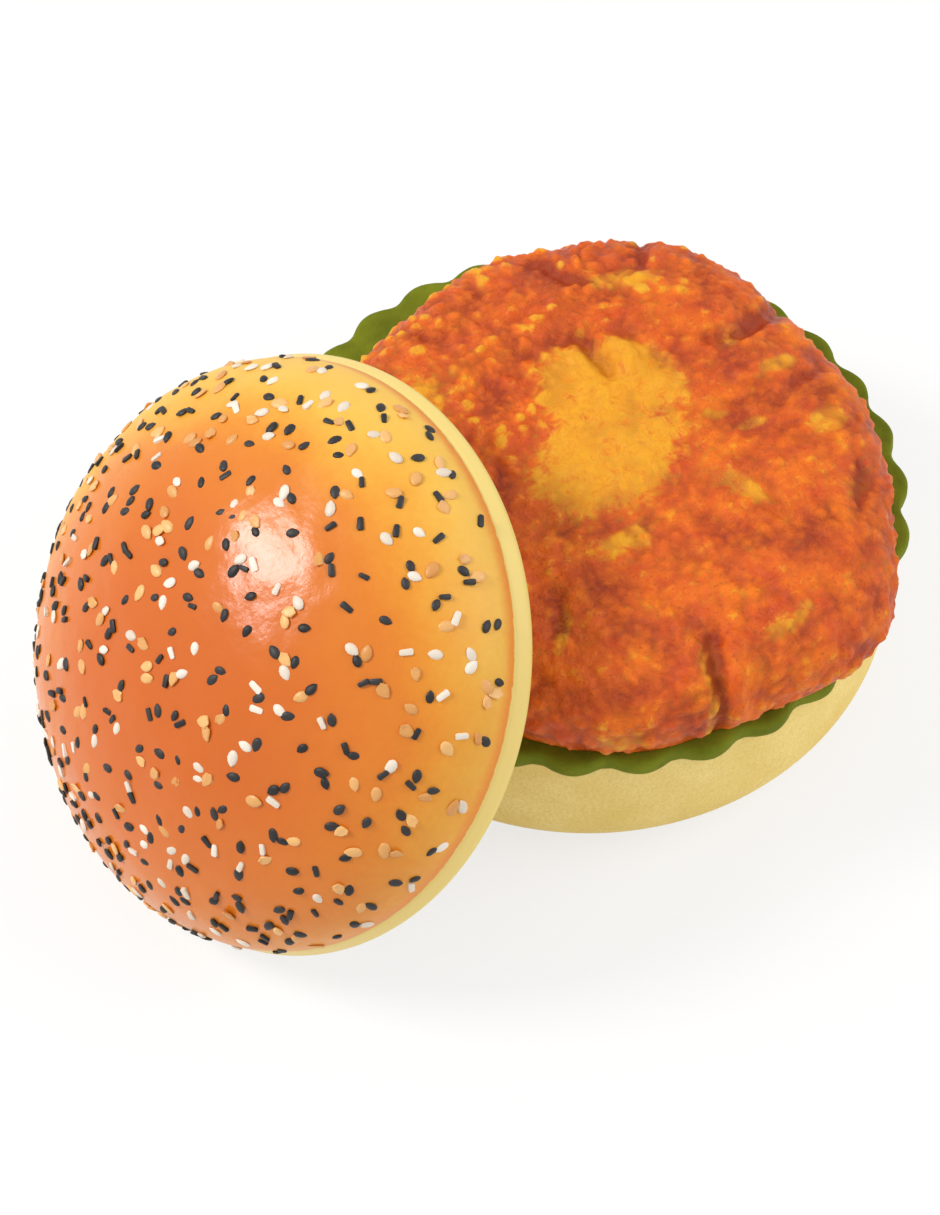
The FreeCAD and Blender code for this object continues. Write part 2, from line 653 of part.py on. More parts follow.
def make_rest_pads():
    """Rubber pads on the face: the upper one is what the handset leans on."""
    places = [(REST_PAD_TOP_X, 0.0)] + on_circle(FACE_R - REST_PAD_EDGE, REST_PAD_LOW_ANGLES)
    return Part.makeCompound([cylinder(REST_PAD_R, REST_PAD_T, x, y, -REST_PAD_T) for x, y in places])


def dome_frame(share, turn):
    """Point, outward normal and downhill direction on the dome at a share of its edge angle."""
    angle = 90.0 * share
    step = 0.5
    r, z = dome_point(CREASE_R, BAND_HEIGHT, CROWN_HEIGHT, angle)
    r_low, z_low = dome_point(CREASE_R, BAND_HEIGHT, CROWN_HEIGHT, angle - step)
    away = Vector(math.cos(turn), math.sin(turn), 0)
    downhill = away * (r_low - r) + UP * (z_low - z)
    downhill.normalize()
    side = UP.cross(away)
    return away * r + UP * z, downhill.cross(side), downhill


def seed_mark(share, turn):
    """A place on a flattened half globe of radius 1, on which the seeds' spacing is measured."""
    angle = math.radians(90.0 * share)
    reach = math.cos(angle)
    return Vector(reach * math.cos(turn), reach * math.sin(turn), SEED_MAP_RISE_SHARE * math.sin(angle))


def seed_places(count):
    """Scattered places on the dome, no two nearer than the spacing: point, normal and seed direction."""
    draw = random.Random(SEED_DRAW)
    marks = []
    places = []
    while len(places) < count:
        height = draw.random()
        turn = draw.random() * 2 * math.pi
        spin = draw.random() * math.pi
        keep = draw.random()
        share = SEED_LOWEST + (SEED_HIGHEST - SEED_LOWEST) * math.asin(height) / (math.pi / 2)
        facing = 0.5 + 0.5 * math.cos(turn - math.radians(SPARSE_TURN_DEG))
        if keep < SPARSE_SHARE * facing * (1 - share) ** 2:
            continue
        mark = seed_mark(share, turn)
        if all((mark - other).Length > SEED_SPACING_SHARE for other in marks):
            marks.append(mark)
            point, normal, downhill = dome_frame(share, turn)
            along = downhill * math.cos(spin) + normal.cross(downhill) * math.sin(spin)
            places.append((point, normal, along))
    return places


def oval(point, half_axes):
    """A rounded body about a point, with three half axes."""
    a, b, c = half_axes
    matrix = FreeCAD.Matrix(a.x, b.x, c.x, point.x, a.y, b.y, c.y, point.y, a.z, b.z, c.z, point.z)
    return Part.makeSphere(1.0).transformGeometry(matrix)


def make_seed(place, size):
    """One seed: a flat oval grain, half sunk in the dome."""
    point, normal, along = place
    axes = (along, normal.cross(along), normal)
    return oval(point, [axis * (extent / 2) for axis, extent in zip(axes, size)])


def make_toppings():
    """Black seeds, white seeds and garlic flakes, scattered together over the dome."""
    counts = (BLACK_SEED_COUNT, WHITE_SEED_COUNT, GARLIC_FLAKE_COUNT)
    sizes = (BLACK_SEED_SIZE, WHITE_SEED_SIZE, GARLIC_FLAKE_SIZE)
    places = seed_places(sum(counts))
    groups = []
    for count, size in zip(counts, sizes):
        groups.append(Part.makeCompound([make_seed(place, size) for place in places[:count]]))
        places = places[count:]
    return dict(zip(("black_sesame_seeds", "white_sesame_seeds", "garlic_flakes"), groups))


def heel_side(foot, wall):
    """Edges of the bottom bun's side, from a foot point up over a round edge to the top's centre."""
    shoulder = (HEEL_R - wall, HEEL_SHOULDER_Z)
    top = (HEEL_TOP_R - wall, HEEL_TOP_Z - wall)
    quarter = math.sqrt(0.5)
    middle = (
        foot[0] + (shoulder[0] - foot[0]) * quarter,
        shoulder[1] - (shoulder[1] - foot[1]) * quarter,
    )
    return [arc(foot, middle, shoulder), line(shoulder, top), line(top, (0, top[1]))]


def heel_body():
    """The bottom bun's outer form."""
    foot = (HEEL_FOOT_R, HEEL_LIFT)
    return revolved(heel_side(foot, 0) + polyline((0, HEEL_TOP_Z), (0, HEEL_LIFT), foot))


def heel_hollow():
    """The space inside the bottom bun, with the opening that the base plate closes."""
    rim_z = HEEL_LIFT + HEEL_RIM_T
    foot = (HEEL_OPENING_R + HEEL_INNER_STEP, rim_z)
    closing = polyline(
        (0, DECK_Z), (0, HEEL_LIFT), (HEEL_OPENING_R, HEEL_LIFT), (HEEL_OPENING_R, rim_z), foot
    )
    return revolved(heel_side(foot, HEEL_WALL) + closing)


def socket_box(size, side, grow):
    """A socket body on the main board, grown all round by a clearance."""
    length, width, height = size
    y = side * SOCKET_Y
    return block(
        SOCKET_FRONT_X - length - grow, SOCKET_FRONT_X + grow, y - width / 2 - grow, y + width / 2 + grow,
        MAIN_BOARD_TOP_Z - grow, MAIN_BOARD_TOP_Z + height + grow,
    )


def power_axis_z():
    """Height of the power socket's axis."""
    return MAIN_BOARD_TOP_Z + POWER_JACK_SIZE[2] / 2


def heel_cuts():
    """Openings in the bottom bun's back for the sockets and the page button, and the sound slots."""
    past = 2 * HEEL_WALL + SOCKET_SINK
    along = Vector(1, 0, 0)
    line_body = socket_box(LINE_JACK_SIZE, -1, SLIDE_FIT)
    cuts = [line_body, line_body.translated(Vector(past, 0, 0)), socket_box(POWER_JACK_SIZE, 1, SLIDE_FIT)]
    cuts.append(cylinder(POWER_HOLE_R, past, SOCKET_FRONT_X, SOCKET_Y, power_axis_z(), along))
    button_r = PAGE_BUTTON_R + SLIDE_FIT
    cuts.append(cylinder(button_r, PAGE_GUIDE_LENGTH + past, PAGE_GUIDE_END_X, 0, PAGE_BUTTON_Z, along))
    for index in range(SOUND_SLOTS):
        x = (index - (SOUND_SLOTS - 1) / 2) * SOUND_SLOT_PITCH
        half = SOUND_SLOT_WIDTH / 2
        low = RINGER_Z - SOUND_SLOT_HEIGHT / 2
        cuts.append(block(x - half, x + half, HEEL_R - past, HEEL_R + past, low, low + SOUND_SLOT_HEIGHT))
    for x, y in on_circle(PATTY_BOSS_CIRCLE_R, PATTY_BOSS_ANGLES):
        cuts.append(cylinder(CASE_SCREW_R + SCREW_FIT, HEEL_WALL, x, y, DECK_Z))
    return cuts


def make_heel_shell():
    """The bottom bun: a hollow shell with a flat deck, four screw bosses and a button guide."""
    boss_top = DECK_Z + HEEL_WALL / 2
    places = on_circle(BASE_BOSS_CIRCLE_R, BASE_BOSS_ANGLES)
    added = [cylinder(BASE_BOSS_R, boss_top - BASE_PLATE_TOP_Z, x, y, BASE_PLATE_TOP_Z) for x, y in places]
    guide_r = PAGE_BUTTON_R + SLIDE_FIT + PAGE_GUIDE_WALL
    guide_length = PAGE_GUIDE_LENGTH - HEEL_WALL / 2
    added.append(cylinder(guide_r, guide_length, PAGE_GUIDE_END_X, 0, PAGE_BUTTON_Z, Vector(1, 0, 0)))
    shell = heel_body().cut(heel_hollow()).fuse(added)
    pilots = [cylinder(CASE_SCREW_R, BASE_SCREW_LENGTH, x, y, BASE_PLATE_TOP_Z) for x, y in places]
    return shell.cut(heel_cuts() + pilots)


def ringer_cup():
    """The upright cup on the base plate that holds the ringer, facing +Y."""
    along = Vector(0, 1, 0)
    inner = RINGER_R + SEAT_FIT
    outer = inner + RINGER_CUP_WALL
    cup = cylinder(outer, RINGER_CUP_DEPTH, 0, RINGER_BACK_Y, RINGER_Z, along)
    foot = block(
        -RINGER_FOOT_HALF_WIDTH, RINGER_FOOT_HALF_WIDTH, RINGER_BACK_Y, RINGER_BACK_Y + RINGER_CUP_DEPTH,
        BASE_PLATE_TOP_Z, RINGER_Z,
    )
    return cup.fuse(foot).cut(cylinder(inner, RINGER_CUP_DEPTH, 0, RINGER_BACK_Y, RINGER_Z, along))


def main_post_places():
    """Centres of the four posts that carry the main board."""
    behind_socket = SOCKET_FRONT_X - LINE_JACK_SIZE[0] - MAIN_POST_SOCKET_GAP
    xs = (MAIN_BOARD_START_X + MAIN_POST_INSET, behind_socket)
    return [(x, side * MAIN_POST_Y) for x in xs for side in (1, -1)]


def ballast_screw_places():
    """Centres of the two ballast screws."""
    x = BALLAST_START_X + BALLAST_LENGTH / 2
    return [(x, side * BALLAST_SCREW_Y) for side in (1, -1)]


def base_screw_seat_z():
    """Height of the screw seats under the base plate, sunk so that the heads lie inside it."""
    return FLOOR_PAD_T + SCREW_HEAD_T + SEAT_FIT


def make_base_plate():
    """The plate that closes the bottom bun, with board posts and the ringer's cup."""
    plate = cylinder(BASE_PLATE_R, BASE_PLATE_T, 0, 0, FLOOR_PAD_T)
    added = [cylinder(MAIN_POST_R, MAIN_POST_HEIGHT, x, y, BASE_PLATE_TOP_Z) for x, y in main_post_places()]
    plate = plate.fuse(added + [ringer_cup()])
    head_depth = base_screw_seat_z() - FLOOR_PAD_T
    cuts = []
    for x, y in on_circle(BASE_BOSS_CIRCLE_R, BASE_BOSS_ANGLES):
        cuts.append(cylinder(CASE_SCREW_R + SCREW_FIT, BASE_PLATE_T, x, y, FLOOR_PAD_T))
        cuts.append(cylinder(CASE_SCREW_R * SCREW_HEAD_RATIO + SCREW_FIT, head_depth, x, y, FLOOR_PAD_T))
    for x, y in main_post_places():
        cuts.append(cylinder(SMALL_SCREW_R, MAIN_POST_HEIGHT, x, y, BASE_PLATE_TOP_Z))
    for x, y in ballast_screw_places():
        cuts.append(cylinder(CASE_SCREW_R, BALLAST_SCREW_BITE, x, y, BASE_PLATE_TOP_Z - BALLAST_SCREW_BITE))
    return plate.cut(cuts)


def make_floor_pad():
    """The round rubber pad that the base stands on."""
    return cylinder(FLOOR_PAD_R, FLOOR_PAD_T, 0, 0, 0)


def make_base_screws():
    """Screws from below through the base plate into the bottom bun's bosses."""
    places = on_circle(BASE_BOSS_CIRCLE_R, BASE_BOSS_ANGLES)
    return screws(CASE_SCREW_R, BASE_SCREW_LENGTH, places, base_screw_seat_z(), 1)


def leaf_point(angle_deg, radius):
    """A point of the lettuce outline at the height of its underside."""
    angle = math.radians(angle_deg)
    return Vector(radius * math.cos(angle), radius * math.sin(angle), HEEL_TOP_Z)


def make_lettuce_leaf():
    """A flat leaf with a scalloped edge, made of round peaks and narrower round valleys."""
    step = 360.0 / SCALLOPS
    half_peak = step * SCALLOP_PEAK_SHARE / 2
    edges = []
    for index in range(SCALLOPS):
        peak = SCALLOP_PHASE_DEG + step * index
        start = leaf_point(peak - half_peak, LETTUCE_R)
        end = leaf_point(peak + half_peak, LETTUCE_R)
        following = leaf_point(peak + step - half_peak, LETTUCE_R)
        edges.append(Part.Arc(start, leaf_point(peak, LETTUCE_R + SCALLOP_DEPTH / 2), end).toShape())
        valley = leaf_point(peak + step / 2, LETTUCE_R - SCALLOP_DEPTH / 2)
        edges.append(Part.Arc(end, valley, following).toShape())
    leaf = Part.Face(Part.Wire(edges)).extrude(UP * LETTUCE_T)
    places = on_circle(PATTY_BOSS_CIRCLE_R, PATTY_BOSS_ANGLES)
    return leaf.cut([cylinder(PATTY_BOSS_R + SEAT_FIT, LETTUCE_T, x, y, HEEL_TOP_Z) for x, y in places])


def patty_level(height, inset):
    """One closed outline of the patty at a height above the leaf."""
    points = []
    for angle_deg, past in PATTY_OUTLINE:
        angle = math.radians(angle_deg)
        reach = CROWN_R + past - inset
        points.append(Vector(reach * math.cos(angle), reach * math.sin(angle), LETTUCE_TOP_Z + height))
    curve = Part.BSplineCurve()
    curve.interpolate(Points=points, PeriodicFlag=True)
    return Part.Wire(curve.toShape())


def patty_form(wall):
    """The patty's rounded form, moved in by a wall at its side and top."""
    levels = [patty_level(share * (PATTY_T - wall), inset + wall) for share, inset in PATTY_SIDE]
    return Part.makeLoft(levels, True)


def patty_height(x, y):
    """Height of the patty's smooth form over a place in plan."""
    probe = Part.makeLine(Vector(x, y, LETTUCE_TOP_Z), Vector(x, y, LETTUCE_TOP_Z + 2 * PATTY_T))
    return patty_form(0).common(probe).BoundBox.ZMax


def patty_oval(place, half_height, sunk):
    """One lump or furrow on the patty: a flat oval with its middle sunk below the surface."""
    x_share, y_share, length_share, width_share, turn_deg = place
    x, y, turn = CROWN_R * x_share, CROWN_R * y_share, math.radians(turn_deg)
    along = Vector(math.cos(turn), math.sin(turn), 0)
    axes = (along * CROWN_R * length_share, UP.cross(along) * CROWN_R * width_share, UP * half_height)
    return oval(Vector(x, y, patty_height(x, y) - sunk), axes)


def patty_crust():
    """The patty's rounded form with its main lumps and furrows."""
    lumps, furrows = [], []
    for *place, rise in PATTY_LUMPS:
        sunk = rise * PATTY_LUMP_SUNK
        lumps.append(patty_oval(place, rise + sunk, sunk))
    for *place, depth in PATTY_FURROWS:
        furrows.append(patty_oval(place, depth, 0))
    return patty_form(0).fuse(lumps).cut(furrows)


def make_patty_shell():
    """The fried patty: a hollow shell with three screw bosses and two holes for the pins."""
    shell = patty_crust().cut(patty_form(PATTY_WALL))
    boss_height = LETTUCE_T + PATTY_T - PATTY_WALL / 2
    pilot_length = PATTY_SCREW_LENGTH - HEEL_WALL + CASE_SCREW_R
    for x, y in on_circle(PATTY_BOSS_CIRCLE_R, PATTY_BOSS_ANGLES):
        shell = shell.fuse(cylinder(PATTY_BOSS_R, boss_height, x, y, HEEL_TOP_Z))
        shell = shell.cut(cylinder(CASE_SCREW_R, pilot_length, x, y, HEEL_TOP_Z))
    for x, y in charge_places():
        hole_z = LETTUCE_TOP_Z + PIN_BLOCK_HEIGHT
        shell = shell.cut(cylinder(PIN_R + PIN_HOLE_FIT, PATTY_T, x, y, hole_z))
    return shell


def make_patty_screws():
    """Screws from inside the bottom bun up into the patty's bosses."""
    places = on_circle(PATTY_BOSS_CIRCLE_R, PATTY_BOSS_ANGLES)
    return screws(CASE_SCREW_R, PATTY_SCREW_LENGTH, places, DECK_Z, 1)


def pin_bottom_z():
    """Height of the charging pins' lower ends, so that their tips stand proud of the patty."""
    return patty_height(*charge_places()[0]) + PIN_PROUD - PIN_LENGTH


def make_pin_block():
    """The insulating block under the patty that guides the charging pins."""
    body = block(
        CHARGE_X - PIN_BLOCK_HALF_LENGTH, CHARGE_X + PIN_BLOCK_HALF_LENGTH,
        -PIN_BLOCK_HALF_WIDTH, PIN_BLOCK_HALF_WIDTH, LETTUCE_TOP_Z, LETTUCE_TOP_Z + PIN_BLOCK_HEIGHT,
    )
    bore_z = pin_bottom_z() - PIN_TRAVEL - SLIDE_FIT
    return body.cut([cylinder(PIN_R + SHAFT_FIT, PIN_LENGTH, x, y, bore_z) for x, y in charge_places()])


def make_charge_pin(place):
    """One sprung charging pin with a rounded tip."""
    x, y = place
    z = pin_bottom_z()
    shank = cylinder(PIN_R, PIN_LENGTH - PIN_R, x, y, z)
    return shank.fuse(Part.makeSphere(PIN_R, Vector(x, y, z + PIN_LENGTH - PIN_R)))


def make_main_board():
    """The base's circuit board, on its four posts."""
    half = MAIN_BOARD_HALF_WIDTH
    board = block(MAIN_BOARD_START_X, MAIN_BOARD_END_X, -half, half, MAIN_BOARD_Z, MAIN_BOARD_TOP_Z)
    holes = [cylinder(SMALL_SCREW_R + SCREW_FIT, BOARD_T, x, y, MAIN_BOARD_Z) for x, y in main_post_places()]
    return board.cut(holes)


def make_main_board_screws():
    """Screws through the main board into its posts."""
    length = BOARD_T + MAIN_POST_HEIGHT - SLIDE_FIT
    return screws(SMALL_SCREW_R, length, main_post_places(), MAIN_BOARD_TOP_Z, -1)


def make_main_shield():
    """The metal can over the radio parts of the main board."""
    length, width, height = MAIN_SHIELD
    x = MAIN_BOARD_START_X + MAIN_SHIELD_INSET
    return block(x, x + length, -width / 2, width / 2, MAIN_BOARD_TOP_Z, MAIN_BOARD_TOP_Z + height)


def make_line_jack():
    """The telephone line socket, open to the back."""
    z = MAIN_BOARD_TOP_Z + LINE_SOCKET_SILL
    half = LINE_SOCKET_WIDTH / 2
    socket = block(
        SOCKET_FRONT_X - LINE_SOCKET_DEPTH, SOCKET_FRONT_X, -SOCKET_Y - half, -SOCKET_Y + half,
        z, z + LINE_SOCKET_HEIGHT,
    )
    return socket_box(LINE_JACK_SIZE, -1, 0).cut(socket)


def make_line_jack_contacts():
    """Four contact wires on the floor of the line socket."""
    length, width, height = LINE_CONTACT_SIZE
    x = SOCKET_FRONT_X - LINE_SOCKET_DEPTH
    z = MAIN_BOARD_TOP_Z + LINE_SOCKET_SILL
    wires = []
    for index in range(LINE_CONTACTS):
        y = -SOCKET_Y + (index - (LINE_CONTACTS - 1) / 2) * LINE_CONTACT_PITCH
        wires.append(block(x, x + length, y - width / 2, y + width / 2, z, z + height))
    return Part.makeCompound(wires)


def make_power_jack():
    """The barrel power socket, open to the back."""
    start = SOCKET_FRONT_X - POWER_BORE_DEPTH
    bore = cylinder(POWER_BORE_R, POWER_BORE_DEPTH, start, SOCKET_Y, power_axis_z(), Vector(1, 0, 0))
    return socket_box(POWER_JACK_SIZE, 1, 0).cut(bore)


def make_power_jack_pin():
    """The centre pin of the power socket."""
    start = SOCKET_FRONT_X - POWER_BORE_DEPTH
    return cylinder(POWER_PIN_R, POWER_PIN_LENGTH, start, SOCKET_Y, power_axis_z(), Vector(1, 0, 0))


def make_page_button():
    """The page button in the back: a round cap with a flange behind its guide."""
    along = Vector(1, 0, 0)
    cap_length = PAGE_GUIDE_LENGTH + PAGE_BUTTON_PROUD
    cap = cylinder(PAGE_BUTTON_R, cap_length, PAGE_GUIDE_END_X, 0, PAGE_BUTTON_Z, along)
    flange_x = PAGE_GUIDE_END_X - PAGE_FLANGE_T
    return cap.fuse(cylinder(PAGE_BUTTON_R + PAGE_FLANGE, PAGE_FLANGE_T, flange_x, 0, PAGE_BUTTON_Z, along))


def make_page_switch():
    """The upright switch on the main board behind the page button."""
    length, width = PAGE_SWITCH_SIZE
    front = PAGE_GUIDE_END_X - PAGE_FLANGE_T - PAGE_TRAVEL - SLIDE_FIT
    top = PAGE_BUTTON_Z + PAGE_SWITCH_HEAD
    return block(front - length, front, -width / 2, width / 2, MAIN_BOARD_TOP_Z, top)


def make_ringer_speaker():
    """The ringer: a rim with a sunk cone in front and a magnet behind."""
    along = Vector(0, 1, 0)
    front_y = RINGER_BACK_Y + RINGER_RIM_T
    rim = cylinder(RINGER_R, RINGER_RIM_T, 0, RINGER_BACK_Y, RINGER_Z, along)
    magnet = cylinder(RINGER_MAGNET_R, RINGER_MAGNET_T, 0, RINGER_BACK_Y, RINGER_Z, along * -1)
    cone_place = Vector(0, front_y - RINGER_CONE_DEPTH, RINGER_Z)
    cone = Part.makeCone(RINGER_CONE_R / 2, RINGER_CONE_R, RINGER_CONE_DEPTH, cone_place, along)
    return rim.fuse(magnet).cut(cone)


def make_ballast_weight():
    """The steel weight that keeps the base steady."""
    half = BALLAST_HALF_WIDTH
    weight = block(
        BALLAST_START_X, BALLAST_START_X + BALLAST_LENGTH, -half, half,
        BASE_PLATE_TOP_Z, BASE_PLATE_TOP_Z + BALLAST_T,
    )
    places = ballast_screw_places()
    hole_r = CASE_SCREW_R + SCREW_FIT
    return weight.cut([cylinder(hole_r, BALLAST_T, x, y, BASE_PLATE_TOP_Z) for x, y in places])


def make_ballast_screws():
    """Screws through the weight into the base plate."""
    length = BALLAST_T + BALLAST_SCREW_BITE - SCREW_FIT
    return screws(CASE_SCREW_R, length, ballast_screw_places(), BASE_PLATE_TOP_Z + BALLAST_T, -1)


def handset_pieces():
    """Every handset piece in the handset's own frame."""
    pieces = {
        "crown_shell": make_crown_shell(),
        "face_plate": make_face_plate(),
        "face_screws": make_face_screws(),
        "keypad_mat": make_keypad_mat(),
        "handset_board": make_handset_board(),
        "handset_board_screws": make_handset_board_screws(),
        "handset_shield": make_handset_shield(),
        "earpiece_receiver": make_earpiece_receiver(),
        "earpiece_gasket": make_earpiece_gasket(),
        "microphone": make_microphone(),
        "mic_boot": make_mic_boot(),
        "battery_cells": make_battery_cells(),
        "battery_contacts": make_battery_contacts(),
        "battery_door": make_battery_door(),
        "charge_contacts": make_charge_contacts(),
        "rest_pads": make_rest_pads(),
    }
    for name, x, y, width in key_places():
        pieces[name] = make_key(x, y, width)
    pieces.update(make_toppings())
    return pieces


def base_pieces():
    """Every base piece in its place."""
    left, right = (make_charge_pin(place) for place in charge_places())
    return {
        "heel_shell": make_heel_shell(),
        "base_plate": make_base_plate(),
        "floor_pad": make_floor_pad(),
        "base_screws": make_base_screws(),
        "lettuce_leaf": make_lettuce_leaf(),
        "patty_shell": make_patty_shell(),
        "patty_screws": make_patty_screws(),
        "pin_block": make_pin_block(),
        "charge_pin_left": left,
        "charge_pin_right": right,
        "main_board": make_main_board(),
        "main_board_screws": make_main_board_screws(),
        "main_shield": make_main_shield(),
        "line_jack": make_line_jack(),
        "line_jack_contacts": make_line_jack_contacts(),
        "power_jack": make_power_jack(),
        "power_jack_pin": make_power_jack_pin(),
        "page_button": make_page_button(),
        "page_switch": make_page_switch(),
        "ringer_speaker": make_ringer_speaker(),
        "ballast_weight": make_ballast_weight(),
        "ballast_screws": make_ballast_screws(),
    }


def handset_placement():
    """Where the handset leans: its lower rim on the table and its upper pad against the patty."""
    tilt = math.radians(LEAN_DEG)
    out = Vector(-math.sin(tilt), 0, math.cos(tilt))
    patty_points = patty_form(0).tessellate(LEAN_GAP)[0]
    reach = max(point.dot(out) for point in patty_points) + LEAN_GAP + REST_PAD_T
    centre_z = (CROWN_R - RIM_ROUNDING) * math.sin(tilt) + RIM_ROUNDING * (1 - math.cos(tilt))
    centre_x = (centre_z * math.cos(tilt) - reach) / math.sin(tilt)
    return FreeCAD.Placement(Vector(centre_x, 0, centre_z), FreeCAD.Rotation(Vector(0, 1, 0), -LEAN_DEG))


def main():
    """Make every piece, lean the handset and write the files."""
    os.makedirs("parts", exist_ok=True)
    for name, shape in base_pieces().items():
        export(name, shape)
    leaning = handset_placement()
    for name, shape in handset_pieces().items():
        shape.Placement = leaning
        export(name, shape)


main()
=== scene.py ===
import logging
import math
import random
from collections.abc import Callable, Iterator, Sequence
from contextlib import contextmanager
from dataclasses import dataclass, field
from enum import Enum
from functools import partial

import bpy
import numpy as np
from mathutils import Matrix, Vector, noise


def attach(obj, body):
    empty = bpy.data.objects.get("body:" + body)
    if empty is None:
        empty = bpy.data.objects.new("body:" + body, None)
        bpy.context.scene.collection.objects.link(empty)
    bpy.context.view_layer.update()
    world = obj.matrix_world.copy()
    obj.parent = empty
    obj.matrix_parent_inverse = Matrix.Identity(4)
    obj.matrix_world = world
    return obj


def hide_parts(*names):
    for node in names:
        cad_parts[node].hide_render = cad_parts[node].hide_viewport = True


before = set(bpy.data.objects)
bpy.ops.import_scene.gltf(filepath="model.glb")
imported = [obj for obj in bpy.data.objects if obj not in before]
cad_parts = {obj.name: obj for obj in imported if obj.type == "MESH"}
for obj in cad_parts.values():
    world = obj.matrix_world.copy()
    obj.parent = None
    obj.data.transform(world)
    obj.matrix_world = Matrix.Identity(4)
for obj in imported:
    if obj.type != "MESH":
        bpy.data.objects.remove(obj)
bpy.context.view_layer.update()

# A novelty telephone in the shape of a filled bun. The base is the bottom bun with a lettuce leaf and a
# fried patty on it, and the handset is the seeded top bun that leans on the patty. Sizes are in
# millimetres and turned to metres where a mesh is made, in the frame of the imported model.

LOG = logging.getLogger("bun_telephone")
MM = 0.001
WHITE = (1.0, 1.0, 1.0, 1.0)

Tree = bpy.types.NodeTree
Socket = bpy.types.NodeSocket
Piece = bpy.types.Object
Adder = Callable[..., Socket]
Inputs = dict[str, object]
Looks = dict[str, bpy.types.Material]
Pair = tuple[float, float]
Triple = tuple[float, float, float]
Seat = tuple[Vector, Vector, Vector]


# Colour and node helpers

def linear(code: str) -> tuple[float, float, float, float]:
    """Turn an sRGB hex colour into linear RGBA."""
    shares = [int(code[start:start + 2], 16) / 255 for start in (1, 3, 5)]
    red, green, blue = [s / 12.92 if s <= 0.04045 else ((s + 0.055) / 1.055) ** 2.4 for s in shares]
    return red, green, blue, 1.0


def per_mm(size: float) -> float:
    """Give the texture scale at which one feature is a size in millimetres."""
    return 1.0 / (size * MM)


def add_node(tree: Tree, kind: str, inputs: dict | None = None, stops: Sequence[tuple[float, str]] = (),
             out: int | str = 0, **settings: object) -> Socket | None:
    """Add one shader node with its settings, values and links.

    Args:
        tree: The node tree that gets the node.
        kind: The node's type, without the common prefix.
        inputs: Sockets by name or index, each with a value or an output socket to link.
        stops: Positions and hex colours of a colour ramp.
        out: The wanted output, by name or index.
        settings: The node's own properties.

    Returns:
        The wanted output socket, or nothing for a node without outputs.
    """
    node = tree.nodes.new("ShaderNode" + kind)
    for name, value in settings.items():
        setattr(node, name, value)
    for index, (position, code) in enumerate(stops):
        elements = node.color_ramp.elements
        element = elements[index] if index < 2 else elements.new(position)
        element.position = position
        element.color = linear(code)
    for key, value in (inputs or {}).items():
        if isinstance(value, Socket):
            tree.links.new(value, node.inputs[key])
        else:
            node.inputs[key].default_value = value
    return node.outputs[out] if node.outputs else None


def node_adder(owner: bpy.types.Material | bpy.types.World) -> Adder:
    """Empty the node tree of a material or world and give the function that adds nodes to it."""
    owner.use_nodes = True
    owner.node_tree.nodes.clear()
    return partial(add_node, owner.node_tree)


# Finishes

@dataclass(frozen=True)
class Finish:
    """What every finish has: its name, and how rough and how dense its surface is."""

    name: str
    roughness: float = 0.5
    ior: float = 1.46

    def layers(self, add: Adder, place: Socket) -> Inputs:
        """Lay the patterns of this finish.

        Args:
            add: Adds a node to the material.
            place: The piece's own coordinates.

        Returns:
            The shader's inputs by name.
        """
        raise NotImplementedError

    def make(self) -> bpy.types.Material:
        """Build the material from its layers.

        Returns:
            The material.
        """
        material = bpy.data.materials.new(self.name)
        add = node_adder(material)
        place = add("TexCoord", out="Object")
        inputs = {"Roughness": self.roughness, "IOR": self.ior, **self.layers(add, place)}
        shader = add("BsdfPrincipled", inputs)
        add("OutputMaterial", {"Surface": shader})
        return material


@dataclass(frozen=True)
class MouldedFinish(Finish):
    """Moulded plastic or rubber: a faint flow mottle in the colour and a fine spark-eroded grain, which is
    drawn coarser than the real one so that it shows."""

    light: str = "#ffffff"
    dark: str = "#d0d0d0"
    mottle_mm: float = 8.0
    grain_mm: float = 0.6
    grain_depth_mm: float = 0.03
    gloss_swing: float = 0.08

    def layers(self, add: Adder, place: Socket) -> Inputs:
        """Lay the mottle and the grain.

        Args:
            add: Adds a node to the material.
            place: The piece's own coordinates.

        Returns:
            The shader's inputs by name.
        """
        mottle = add("TexNoise", {"Vector": place, "Scale": per_mm(self.mottle_mm), "Detail": 5.0})
        grain = add("TexNoise", {"Vector": place, "Scale": per_mm(self.grain_mm), "Detail": 2.0})
        colour = add("ValToRGB", {"Fac": mottle}, ((0.32, self.dark), (0.68, self.light)))
        rough = add("MapRange", {
            "Value": grain, "From Min": 0.3, "From Max": 0.7,
            "To Min": self.roughness - self.gloss_swing, "To Max": self.roughness + self.gloss_swing})
        bump = add("Bump", {"Height": grain, "Strength": 0.7, "Distance": self.grain_depth_mm * MM})
        return {"Base Color": colour, "Roughness": rough, "Normal": bump}


